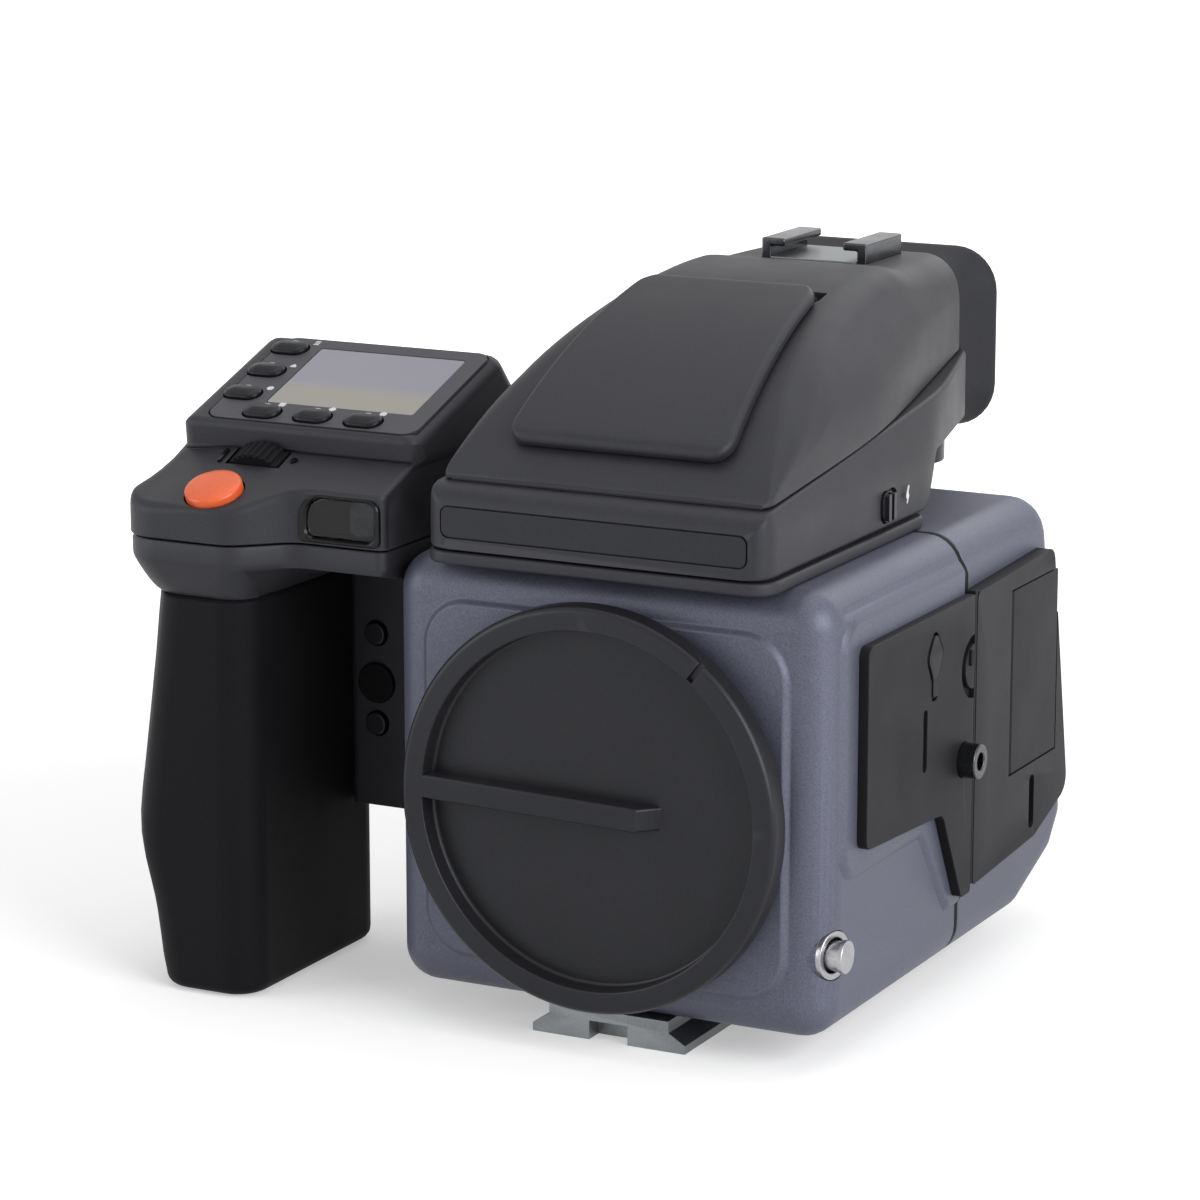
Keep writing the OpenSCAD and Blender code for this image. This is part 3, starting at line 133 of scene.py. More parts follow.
class CameraColours(bpy.types.PropertyGroup):
    """Colours of the camera's finishes"""
    lacquer: colour("Lacquer", "Slate metallic lacquer of the body and the back", "#545665")
    plastic: colour("Plastic", "Grained black plastic of the finder and the grip head", "#242428")
    satin: colour("Satin plastic", "Smooth black plastic of small fittings", "#1b1b1f")
    # The grip's rubber colour is darkened as painted shade for the column; the eyecup has a lighter, lit
    # copy.
    rubber: colour("Rubber", "Soft skin of the grip column", "#0f0f11")
    orange: colour("Orange", "Shutter button", "#d65a2a")
    display: colour("Display", "Liquid crystal display of the grip", "#86858f")
    # The display's lower band is a painted reflection, not a colour of the display.
    display_reflection_band: colour("Display foot", "Lower band of the display", "#908d85")
    ink: colour("Ink", "Printed marks", "#c9c9cc")
    board: colour("Board", "Solder resist of the sensor board", "#2f5d43")


class CameraSizes(bpy.types.PropertyGroup):
    """Sizes of the mouldings that only the dressed camera shows"""
    body_edge: length("Body edge", "Radius of the body's outer edges", 7.0)
    seam_edge: length("Seam edge", "Chamfer beside the seam between body and back", 0.35)
    cap_edge: length("Cap edge", "Radius of the cap's outer rim", 1.3)
    crest: length("Crest", "Radius of the finder's crest", 7.5)
    lid_edge: length("Lid edge", "Radius of the flash lid's edges", 1.7)
    nose_edge: length("Nose edge", "Radius of the grip head's upper edge", 2.6)
    housing_edge: length("Housing edge", "Radius of the display housing's sides", 3.2)
    panel_edge: length("Panel edge", "Radius of the side panels' edges", 0.8)


def size(name):
    """A size that the user sets, in millimetres."""
    return getattr(bpy.context.scene.camera_sizes, name) / MM


# Outlines are lists of corners (u, v, radius), running anticlockwise.

# Most of a straight that a corner's arc may take, beside a round corner and beside a plain point.
ROUND_SHARE, POINT_SHARE = 0.49, 0.98
# Half of the angle at which a corner counts as straight.
STRAIGHT = math.radians(89.5)
# How many of its eases past zero a ramp has no bend left.
STRAIGHT_FROM = 30


def rounded(corners, steps=6, along=1):
    """Points of an outline with each corner rounded and each straight cut into equal lengths.

    A corner of radius 0 stays a single point."""
    count = len(corners)
    arcs = []
    for i, (x, y, radius) in enumerate(corners):
        before, after = corners[i - 1], corners[(i + 1) % count]
        b = Vector((x, y))
        if radius == 0:
            arcs.append([b])
            continue
        u, v = Vector(before[:2]) - b, Vector(after[:2]) - b
        share = [ROUND_SHARE if c[2] else POINT_SHARE for c in (before, after)]
        reach = min(u.length * share[0], v.length * share[1])
        half = u.angle(v) / 2
        u.normalize()
        v.normalize()
        if half > STRAIGHT:
            ease = min(radius, reach, 1.0)
            arcs.append([b + u * ease * (1 - 2 * k / steps) if 2 * k < steps else
                         b + v * ease * (2 * k / steps - 1) for k in range(steps + 1)])
            continue
        r = min(radius, reach * math.tan(half))
        mid = b + (u + v).normalized() * r / math.sin(half)
        p = b + u * r / math.tan(half) - mid
        q = b + v * r / math.tan(half) - mid
        start = math.atan2(p.y, p.x)
        turn = math.atan2(p.x * q.y - p.y * q.x, p.dot(q))
        turns = [start + turn * k / steps for k in range(steps + 1)]
        arcs.append([mid + r * Vector((math.cos(t), math.sin(t))) for t in turns])
    points = []
    for i, bow in enumerate(arcs):
        points += bow
        after = arcs[(i + 1) % count][0]
        points += [bow[-1].lerp(after, k / along) for k in range(1, along)]
    return points


def inset(corners, d, least=0.3):
    """Corners moved in by d: an outer corner loses d of its radius and an inner corner gains it."""
    drawn = []
    for i, (x, y, r) in enumerate(corners):
        a, b, c = Vector(corners[i - 1][:2]), Vector((x, y)), Vector(corners[(i + 1) % len(corners)][:2])
        e, f = (b - a).normalized(), (c - b).normalized()
        m, n = Vector((-e.y, e.x)), Vector((-f.y, f.x))
        p = b + (m + n) * d / (1 + m.dot(n))
        outer = e.x * f.y - e.y * f.x >= 0
        drawn.append((p.x, p.y, max(r - d, least) if outer else max(r + d, least)))
    return drawn


def rect(x0, y0, x1, y1, r):
    return [(x0, y0, r), (x1, y0, r), (x1, y1, r), (x0, y1, r)]


def around(x, y, half_x, half_y, r):
    """Rectangle about its middle."""
    return rect(x - half_x, y - half_y, x + half_x, y + half_y, r)


def between(a, b, t):
    """Corners part of the way from one outline to another."""
    return [tuple(p + (q - p) * t for p, q in zip(c, d)) for c, d in zip(a, b)]


def mirrored(half):
    """Whole outline from the corners of its right half."""
    return half + [(-u, v, r) for u, v, r in reversed(half)]


def smooth(t):
    """Soft step from 0 to 1."""
    t = min(max(t, 0.0), 1.0)
    return t * t * (3 - 2 * t)


def ramp(x, ease):
    """0 below zero and x above it, with a soft bend."""
    return ease * math.log1p(math.exp(x / ease)) if x < STRAIGHT_FROM * ease else x


def lesser(a, b, ease=0.8):
    """The smaller of two sizes, with a soft change from one to the other."""
    return a - ramp(a - b, ease)


def round_in(y, start, end, r):
    """How far an outline draws in near its two ends, where its corners have radius r."""
    gap = min(y - start, end - y)
    return r - math.sqrt(r * r - (r - gap) ** 2) if gap < r else 0.0


def quarter(r, steps):
    """How far each ring of an edge of radius r is drawn in, and how far it stands from the end."""
    turns = [math.pi / 2 * k / steps for k in range(steps + 1)]
    return [(r * (1 - math.sin(t)), r * (1 - math.cos(t))) for t in turns]


def first_stations(start, r, steps):
    """Stations over a rounded start, close together where it draws in most."""
    return [start + r * (1 - math.cos(math.pi / 2 * k / steps)) for k in range(steps + 1)]


def last_stations(end, r, steps):
    """Stations over a rounded end."""
    return [end - r + r * math.sin(math.pi / 2 * k / steps) for k in range(steps + 1)]


# Frames say where a point (u, v) of an outline at height w lies.

def on_x(u, v, w):
    return (w, u, v)


def on_y(u, v, w):
    return (u, w, v)


def on_z(u, v, w):
    return (u, v, w)


def tilted(y, z, slope):
    """Frame of a sloping face: u along x, v up the slope, w out of it."""
    c, s = math.cos(slope), math.sin(slope)
    return lambda u, v, w: (u, y + v * c - w * s, z + v * s + w * c)


def on_rear(u, v, w):
    """Frame of the back's leaning rear face: u along x, v up the face, w out of it."""
    c, s = math.cos(BACK_LEAN), math.sin(BACK_LEAN)
    return (u, REAR_FACE[0] + w * c - v * s, REAR_FACE[1] + w * s + v * c)


def on_lens(u, v, w):
    """Frame of the lens axis: u along x, v up, w to the front."""
    return (u, -w, v + LENS_Z)


def spun(degrees):
    """Frame turned about the lens axis: u and w across the cap, v along the axis to the rear."""
    c, s = math.cos(math.radians(degrees)), math.sin(math.radians(degrees))
    return lambda u, v, w: (u * c + w * s, v, LENS_Z - u * s + w * c)


def moved(place, du, dv):
    return lambda u, v, w: place(u + du, v + dv, w)


on_deck = tilted(*DECK, DECK_SLOPE)
on_nose = tilted(*NOSE, NOSE_SLOPE)


# Meshes

WELD = 1e-6


def mesh_object(name, points, faces):
    """New object from points in millimetres, with its doubled points welded."""
    mesh = bpy.data.meshes.new(name)
    mesh.from_pydata([Vector(p) * MM for p in points], [], faces)
    bm = bmesh.new()
    bm.from_mesh(mesh)
    bmesh.ops.remove_doubles(bm, verts=bm.verts, dist=WELD)
    bmesh.ops.recalc_face_normals(bm, faces=bm.faces)
    bm.to_mesh(mesh)
    bm.free()
    obj = bpy.data.objects.new(name, mesh)
    bpy.context.scene.collection.objects.link(obj)
    return obj


def loft(name, rings, place=on_z, closed=False):
    """Skin over rings of equal count, with flat ends or joined into a loop."""
    count = len(rings[0])
    points = [place(*p) for ring in rings for p in ring]
    faces = []
    for i in range(len(rings) if closed else len(rings) - 1):
        low, high = i * count, (i + 1) % len(rings) * count
        for k in range(count):
            after = (k + 1) % count
            faces.append((low + k, low + after, high + after, high + k))
    if not closed:
        faces += [tuple(range(count)), tuple(range(len(points) - count, len(points)))]
    return mesh_object(name, points, faces)


def level(corners, w, steps=6, along=1):
    """Ring of an outline at height w."""
    return [(p.x, p.y, w) for p in rounded(corners, steps, along)]


def bar_rings(corners, low, high, low_edge=0.0, high_edge=0.0, steps=6, arcs=5):
    """Rings of a bar between two heights whose end edges are rounded."""
    first = quarter(low_edge, arcs) if low_edge else [(0.0, 0.0)]
    last = quarter(high_edge, arcs) if high_edge else [(0.0, 0.0)]
    rings = [level(inset(corners, d), low + h, steps) for d, h in first]
    return rings + [level(inset(corners, d), high - h, steps) for d, h in reversed(last)]


def bar(name, corners, low, high, low_edge=0.0, high_edge=0.0, place=on_z, **cuts):
    return loft(name, bar_rings(corners, low, high, low_edge, high_edge, **cuts), place)


def block(name, low, high):
    """Square tool between two corners."""
    return bar(name, rect(low[0], low[1], high[0], high[1], TOOL_R), low[2], high[2], steps=1)


def strip(name, profile, half, place):
    """Straight strip along u with one profile (v, w) all along."""
    return loft(name, [[(u, v, w) for v, w in profile] for u in (-half, half)], place)


def lathe(name, profile, place, steps=96, start=0.0, turn=360.0):
    """Solid turned from a closed profile of (radius, height), or a sector of it."""
    whole = turn >= 360
    rings = []
    for i in range(steps if whole else steps + 1):
        t = math.radians(start + turn * i / steps)
        rings.append([(r * math.cos(t), r * math.sin(t), h) for r, h in profile])
    return loft(name, rings, place, closed=whole)


def arc(r, h, radius, first, last, steps=5):
    """Profile points of an arc about (r, h), from one angle to another."""
    turns = [math.radians(first + (last - first) * k / steps) for k in range(steps + 1)]
    return [(r + radius * math.cos(t), h + radius * math.sin(t)) for t in turns]


def spindle(name, place, profile, steps=48):
    """Solid of circles about w, given as (radius, height) from one end to the other."""
    turns = [2 * math.pi * k / steps for k in range(steps)]
    return loft(name, [[(r * math.cos(t), r * math.sin(t), h) for t in turns] for r, h in profile], place)


def rod(name, place, r, low, high, steps=48):
    """Round tool for boring and pinning along w."""
    return spindle(name, place, [(r, low), (r, high)], steps)


def carve(target, *tools, operation="DIFFERENCE"):
    """Cuts tools out of a piece, or joins them to it, and removes them."""
    for tool in tools:
        cut = target.modifiers.new("cut", "BOOLEAN")
        cut.object = tool
        cut.operation = operation
        cut.solver = "EXACT"
        bpy.context.view_layer.update()
        graph = bpy.context.evaluated_depsgraph_get()
        result = bpy.data.meshes.new_from_object(target.evaluated_get(graph))
        target.modifiers.clear()
        if not result.polygons:
            raise RuntimeError(f"{tool.name} left nothing of {target.name}")
        old, target.data = target.data, result
        bpy.data.meshes.remove(old)
        bpy.data.meshes.remove(tool.data)


def slice_off(obj, y, keep_rear, edge):
    """Cuts a piece across at y and chamfers the rim of the cut."""
    bm = bmesh.new()
    bm.from_mesh(obj.data)
    found = bmesh.ops.bisect_plane(
        bm, geom=bm.verts[:] + bm.edges[:] + bm.faces[:], plane_co=(0, y * MM, 0), plane_no=(0, 1, 0),
        clear_inner=keep_rear, clear_outer=not keep_rear)
    rim = [e for e in found["geom_cut"] if isinstance(e, bmesh.types.BMEdge)]
    bmesh.ops.contextual_create(bm, geom=rim)
    rim = [e for e in bm.edges if all(abs(v.co.y - y * MM) < WELD / 10 for v in e.verts)]
    bmesh.ops.bevel(bm, geom=rim, offset=edge * MM, segments=3, profile=0.5, affect="EDGES")
    bmesh.ops.recalc_face_normals(bm, faces=bm.faces)
    bm.to_mesh(obj.data)
    bm.free()


def dress(obj, material):
    """Gives a piece its one material."""
    obj.data.materials.clear()
    obj.data.materials.append(bpy.data.materials[material])


def even_out(obj):
    """Lets the large faces lead the shading."""
    even = obj.modifiers.new("even", "WEIGHTED_NORMAL")
    even.keep_sharp = True
    obj.data.polygons.foreach_set("use_smooth", [True] * len(obj.data.polygons))


def settle(obj, body, material, slot, *nodes, angle=32):
    """Shades a new piece, gives it its finish and hangs it on its body."""
    even_out(obj)
    obj.data.set_sharp_from_angle(angle=math.radians(angle))
    dress(obj, material)
    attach(obj, body)
    if nodes:
        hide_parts(*nodes)


def join(parts, name, material, slot):
    """One piece of the camera's fixed body from many small ones."""
    first = parts[0]
    bm = bmesh.new()
    for part in parts:
        bm.from_mesh(part.data)
    bm.to_mesh(first.data)
    bm.free()
    for part in parts[1:]:
        bpy.data.meshes.remove(part.data)
    first.name = name
    settle(first, "camera", material, slot)


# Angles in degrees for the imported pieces: what is one flat face, a sharp edge, and a shaded break.
FLAT_ANGLE, EDGE_ANGLE, BREAK_ANGLE = 0.5, 40, 38


def keep(material, *nodes, edge=0.0, segments=2):
    """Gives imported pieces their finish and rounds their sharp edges."""
    for name in nodes:
        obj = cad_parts[name]
        dress(obj, material)
        weld = obj.modifiers.new("weld", "WELD")
        weld.merge_threshold = WELD
        flat = obj.modifiers.new("flat", "DECIMATE")
        flat.decimate_type = "DISSOLVE"
        flat.angle_limit = math.radians(FLAT_ANGLE)
        if edge:
            bevel = obj.modifiers.new("edge", "BEVEL")
            bevel.width = edge * MM
            bevel.segments = segments
            bevel.limit_method = "ANGLE"
            bevel.angle_limit = math.radians(EDGE_ANGLE)
        soft = obj.modifiers.new("soft", "EDGE_SPLIT")
        soft.split_angle = math.radians(BREAK_ANGLE)
        even_out(obj)


# Finishes

# Specular tint that the black mouldings take from their surround.
COOL = (*linear("#f3f6ff"), 1)
METAL = {"Metallic": 1.0}
# The part of a noise's range that holds most of its values, and how far it sways the roughness.
NOISE_LOW, NOISE_HIGH, GLOSS_SWAY = 0.3, 0.7, 0.05
# Pointiness where rubbing starts and where an edge is rubbed most, and how much paler it gets there.
RUB_START, RUB_FULL, RUB_GAIN, RUB_LIFT = 0.52, 0.62, 2.2, 0.03


def add(tree, kind, inputs=None, **settings):
    """Adds a node with its settings; an input takes a value or another node's output."""
    node = tree.nodes.new(kind)
    for key, value in settings.items():
        setattr(node, key, value)
    for key, value in (inputs or {}).items():
        if isinstance(value, bpy.types.NodeSocket):
            tree.links.new(value, node.inputs[key])
        else:
            node.inputs[key].default_value = value
    return node


def per_mm(mm):
    """Scale of a noise whose grains are that many millimetres across."""
    return 1.0 / (mm * MM)


def black(specular):
    """Shader settings of a black moulding that reflects its pale surround this strongly."""
    return {"Specular IOR Level": specular, "Specular Tint": COOL}


def clear(ior):
    """Shader settings of a clear material."""
    return {"Transmission Weight": 1.0, "IOR": ior}


def finish(name, tint, rough, grain, depth, cloud, spread, stretch=(1, 1, 1), wear=0.0, fleck=0.35,
           **shader):
    """A material with cloudy colour, uneven gloss and a fine grain, all in the piece's own space.

    Grain is the grain's width and depth its height, cloud the width of the colour's clouds and
    spread how far they stray, all lengths in millimetres. Wear pales the edges."""
    material = bpy.data.materials.new(name)
    material.use_nodes = True
    tree = material.node_tree
    tree.nodes.clear()
    place = add(tree, "ShaderNodeTexCoord")
    run = add(tree, "ShaderNodeMapping", {"Vector": place.outputs["Object"], "Scale": stretch})
    clouds = add(tree, "ShaderNodeTexNoise", {
        "Vector": place.outputs["Object"], "Scale": per_mm(cloud), "Detail": 4.0, "Roughness": 0.6})
    grains = add(tree, "ShaderNodeTexNoise", {
        "Vector": run.outputs["Vector"], "Scale": per_mm(grain), "Detail": 2.0, "Roughness": 0.55})
    tones = add(tree, "ShaderNodeValToRGB", {"Fac": clouds.outputs["Fac"]})
    dark, pale = tones.color_ramp.elements
    dark.position, pale.position = NOISE_LOW, NOISE_HIGH
    dark.color = [c * (1 - spread) for c in tint] + [1]
    pale.color = [min(c * (1 + spread), 1) for c in tint] + [1]
    base = add(tree, "ShaderNodeMix", {
        "Factor": fleck, "A": tones.outputs["Color"], "B": grains.outputs["Fac"]},
        data_type="RGBA", blend_type="SOFT_LIGHT")
    gloss = add(tree, "ShaderNodeMapRange", {
        "Value": clouds.outputs["Fac"], "From Min": NOISE_LOW, "From Max": NOISE_HIGH,
        "To Min": rough - GLOSS_SWAY, "To Max": rough + GLOSS_SWAY})
    if wear:
        shape = add(tree, "ShaderNodeNewGeometry")
        rub = add(tree, "ShaderNodeMapRange", {
            "Value": shape.outputs["Pointiness"], "From Min": RUB_START, "From Max": RUB_FULL,
            "To Min": 0.0, "To Max": wear})
        bare = [min(c * RUB_GAIN + RUB_LIFT, 1) for c in tint] + [1]
        base = add(tree, "ShaderNodeMix", data_type="RGBA", inputs={
            "Factor": rub.outputs["Result"], "A": base.outputs["Result"], "B": bare})
    bump = add(tree, "ShaderNodeBump", {
        "Height": grains.outputs["Fac"], "Distance": depth * MM, "Strength": 1.0})
    surface = add(tree, "ShaderNodeBsdfPrincipled", {
        "Base Color": base.outputs["Result"], "Roughness": gloss.outputs["Result"],
        "Normal": bump.outputs["Normal"], **shader})
    add(tree, "ShaderNodeOutputMaterial", {"Surface": surface.outputs["BSDF"]})
    return material


class CAMERA_OT_finishes(bpy.types.Operator):
    """Makes the materials of the camera"""
    bl_idname = "camera_kit.finishes"
    bl_label = "Finishes"

    def execute(self, context):
        self.mouldings(context.scene.camera_colours)
        self.metals(context.scene.camera_colours)
        self.glasses()
        self.display(context.scene.camera_colours)
        return {"FINISHED"}

    def mouldings(self, c):
        """Plastics, rubbers and ink"""
        # ABS moulded in a spark-eroded tool: matt black with an even fine grain.
        finish("grained_abs", c.plastic, rough=0.50, grain=0.42, depth=0.020, cloud=14, spread=0.14,
               wear=0.35, **black(0.3))
        # ABS moulded in a finer eroded tool, for the side panels: darker and duller.
        finish("panel_abs", linear("#161619"), rough=0.52, grain=0.42, depth=0.016, cloud=20, spread=0.12,
               wear=0.35, **black(0.11))
        # ABS moulded in a lapped tool: dark and smooth, with soft reflections.
        finish("satin_abs", c.satin, rough=0.34, grain=0.60, depth=0.006, cloud=10, spread=0.12,
               **black(0.3))
        # ABS moulded in a greyer lot for the display's bezel: a dull dark grey.
        finish("bezel_abs", linear("#333338"), rough=0.48, grain=0.42, depth=0.014, cloud=14, spread=0.10,
               **black(0.4))
        # ABS moulded in a blacker lot for the keys: deep black with soft highlights on the domes.
        finish("key_abs", linear("#121215"), rough=0.36, grain=0.60, depth=0.006, cloud=10, spread=0.12,
               **black(0.2))
        # ABS moulded smooth for the cap: an even satin black that shows its rubbed rim.
        finish("cap_abs", linear("#1e1e21"), rough=0.36, grain=0.50, depth=0.008, cloud=20, spread=0.10,
               wear=0.3, **black(0.25))
        # ABS moulded in a mirror-polished tool: near black with clear reflections.
        finish("gloss_abs", linear("#0d0d0f"), rough=0.12, grain=1.2, depth=0.002, cloud=10, spread=0.10,
               **{"Specular IOR Level": 0.18})
        # ABS dyed through and moulded smooth: a bright orange with a soft sheen.
        finish("orange_abs", c.orange, rough=0.34, grain=0.5, depth=0.006, cloud=6, spread=0.06,
               **{"IOR": 1.5})
        # Thermoplastic rubber moulded over the grip: matt, slightly dusty, with a broader grain. Its
        # near-black colour is darkened further as painted shade for the column, which stands in shadow; it
        # is the shaded copy of the eyecup's rubber.
        finish("shaded_grip_rubber", c.rubber, rough=0.62, grain=0.55, depth=0.030, cloud=22, spread=0.16,
               **black(0.1), **{"Sheen Weight": 0.02, "Sheen Roughness": 0.5})
        # Vulcanised rubber of the eyecup: greyer and with more sheen than the grip's, as painted light; it
        # is the lit copy of the same rubber, for the eyecup that catches the light.
        finish("lit_cup_rubber", linear("#1f1f23"), rough=0.60, grain=0.55, depth=0.030, cloud=22, spread=0.16,
               **black(0.25), **{"Sheen Weight": 0.06, "Sheen Roughness": 0.5})
        # Extruded soft rubber of the light seal: near black, almost without sheen. The same finish lies as
        # painted shade in the side panels' grooves and on the floor of the focus light's hollow.
        finish("seal_rubber_and_shade", linear("#0b0b0c"), rough=0.60, grain=0.50, depth=0.010, cloud=10, spread=0.12,
               **{"Specular IOR Level": 0.1})
        # Pad-printed ink: pale, dry and a little uneven.
        finish("printed_ink", c.ink, rough=0.5, grain=0.3, depth=0.002, cloud=2, spread=0.08)

    def metals(self, c):
        """Metals, the lacquer on them and the board"""
        # Metallic lacquer sprayed on die-cast magnesium: a satin sheen with a fine sparkle of flakes.
        # Real flakes are under 0.05 mm; they are drawn at 0.3 mm so that they show.
        finish("lacquered_magnesium", c.lacquer, rough=0.50, grain=0.30, depth=0.012, cloud=30, spread=0.06,
               wear=0.25, fleck=0.6, **{"Metallic": 0.35, "Specular IOR Level": 0.4})
        # Turned stainless steel: fine rings seen as streaks.
        # Real tool marks are about 0.1 mm apart; they are drawn coarser so that they show.
        finish("turned_steel", linear("#8f9194"), rough=0.30, grain=0.8, depth=0.004, cloud=8, spread=0.10,
               stretch=(1, 8, 1), **METAL)
        # Dark plated steel of rails and pins: glossy, with soft streaks along the slide.
        finish("blackened_steel", linear("#4b4c50"), rough=0.26, grain=0.7, depth=0.003, cloud=6,
               spread=0.15, stretch=(1, 0.1, 1), **METAL)
        # Tumbled aluminium die casting: grey, slightly pitted, bright on its edges.
        finish("cast_aluminium", linear("#76797b"), rough=0.42, grain=0.5, depth=0.020, cloud=7, spread=0.14,
               wear=0.3, **METAL)
        # Satin-brushed stainless steel: soft streaks across the face.
        finish("brushed_steel", linear("#a6a6a8"), rough=0.28, grain=0.6, depth=0.003, cloud=3, spread=0.10,
               stretch=(1, 6, 1), **METAL)
        # Solder resist cured over copper: a cloudy green with a soft gloss.
        finish("solder_resist", c.board, rough=0.35, grain=0.8, depth=0.01, cloud=3, spread=0.25)

    def glasses(self):
        """Glass and clear plastics"""
        # Glass silvered on its face: a clean bright mirror.
        finish("silvered_glass", linear("#e3e5e7"), rough=0.06, grain=3.0, depth=0.0005, cloud=20,
               spread=0.02, **METAL)
        # Ground and polished optical glass: clear, with sharp reflections.
        finish("optical_glass", linear("#dfe8ea"), rough=0.06, grain=2.0, depth=0.0002, cloud=30,
               spread=0.02, **clear(1.52))
        # Polished cover glass over a dark panel: near black, with soft clear reflections.
        finish("screen_glass", linear("#0d0e11"), rough=0.09, grain=3.0, depth=0.0003, cloud=30,
               spread=0.10, **{"Specular IOR Level": 0.3})
        # Smoked acrylic of the focus light window: clear reflections over a dark hollow.
        finish("smoked_acrylic", linear("#6f7276"), rough=0.05, grain=3.0, depth=0.0002, cloud=30,
               spread=0.04, **clear(1.3))
        # Ribbed polycarbonate of the flash: clear, and softened by its moulded ribs.
        finish("ribbed_polycarbonate", linear("#eef0f0"), rough=0.16, grain=1.5, depth=0.001, cloud=20,
               spread=0.02, **clear(1.58))

    def display(self, c):
        """Liquid crystal display: a grey field with a warmer lower band, which is a painted reflection"""
        # Reflective liquid crystal behind a polished cover: a grey field over a warmer lower band, which is
        # a painted reflection on the cover.
        material = finish("liquid_crystal", c.display, rough=0.22, grain=0.45, depth=0.0005, cloud=40,
                          spread=0.03, fleck=0.04, **{"Specular IOR Level": 0.3})
        # The lower share of the window takes the painted reflection's colour, blurred across its line.
        reflection_share, reflection_blur = 0.36, 1.6 * MM
        low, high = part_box("lcd_window")
        line = low.y + reflection_share * (high.y - low.y)
        tree = material.node_tree
        surface = next(n for n in tree.nodes if n.type == "BSDF_PRINCIPLED")
        field = surface.inputs["Base Color"].links[0].from_socket
        place = add(tree, "ShaderNodeTexCoord")
        axis = add(tree, "ShaderNodeSeparateXYZ", {"Vector": place.outputs["Object"]})
        band = add(tree, "ShaderNodeMapRange", {
            "Value": axis.outputs["Y"], "From Min": line - reflection_blur, "From Max": line + reflection_blur,
            "To Min": 1.0, "To Max": 0.0})
        both = add(tree, "ShaderNodeMix", data_type="RGBA", inputs={
            "Factor": band.outputs["Result"], "A": field, "B": list(c.display_reflection_band) + [1]})
        tree.links.new(both.outputs["Result"], surface.inputs["Base Color"])


# Body

WALL = 4.0
# Raised square of the front: its step, half width, corner, margin to the edge, and the ledge round it.
SQUARE_STEP, SQUARE_HALF, SQUARE_R, SQUARE_MARGIN, LEDGE_R = 1.1, 36.4, 8.0, 1.5, 9.5
# Side pad: its outline round the panel, the width of its soft rise, and where that starts and ends.
PAD_FRONT, PAD_SILL = PANEL_LOW.y - 4, 37.0
PAD_FOOT, PAD_TOP = PANEL_LOW.z - 1, PANEL_HIGH.z + 4
PAD_OUTLINE = [
    (10.5, PAD_SILL, 3), (23.5, PAD_FOOT, 1.5), (REAR + 8, PAD_FOOT, 0.3), (REAR + 8, PAD_TOP, 0.3),
    (PAD_FRONT, PAD_TOP, 4.5), (PAD_FRONT, PAD_SILL, 4.5)]
PAD_SLOPE, PAD_SINK, PAD_PROUD = 3.6, 0.95, 1.0
# Lens opening and the lip that carries the focusing screen.
THROAT_R, THROAT_DEEP, RING_SEAT_R, SCREEN_LIP = 31.5, 14.0, 36.05, 2.0
# Lens release: the washer's middle, how far it faces forward, its radii and heights, and its boss.
WASHER_X, RELEASE_Y, RELEASE_Z, WASHER_TURN = 44.2, -27.7, 22.5, math.radians(12)
WASHER_HOLE, WASHER_R, WASHER_LOW, WASHER_HIGH, WASHER_ROOM = 3.35, 4.6, -0.6, 0.5, 0.15
BOSS_FLARE = [(6.4, -6.0), (5.7, -3.8), (5.1, -2.2), (4.8, -1.2), (4.7, 0.0)]
BUTTON_R, BUTTON_HIGH, BUTTON_EDGE, BUTTON_HEAD, BUTTON_BORE = 3.1, 47.3, 0.25, 1.0, 3.4
SOCKET_BORE = 2.85


def on_washer(u, v, w):
    """Frame of the release washer, which faces sideways and a little forward."""
    c, s = math.cos(WASHER_TURN), math.sin(WASHER_TURN)
    return (WASHER_X + u * s + w * c, RELEASE_Y + u * c - w * s, RELEASE_Z + v)


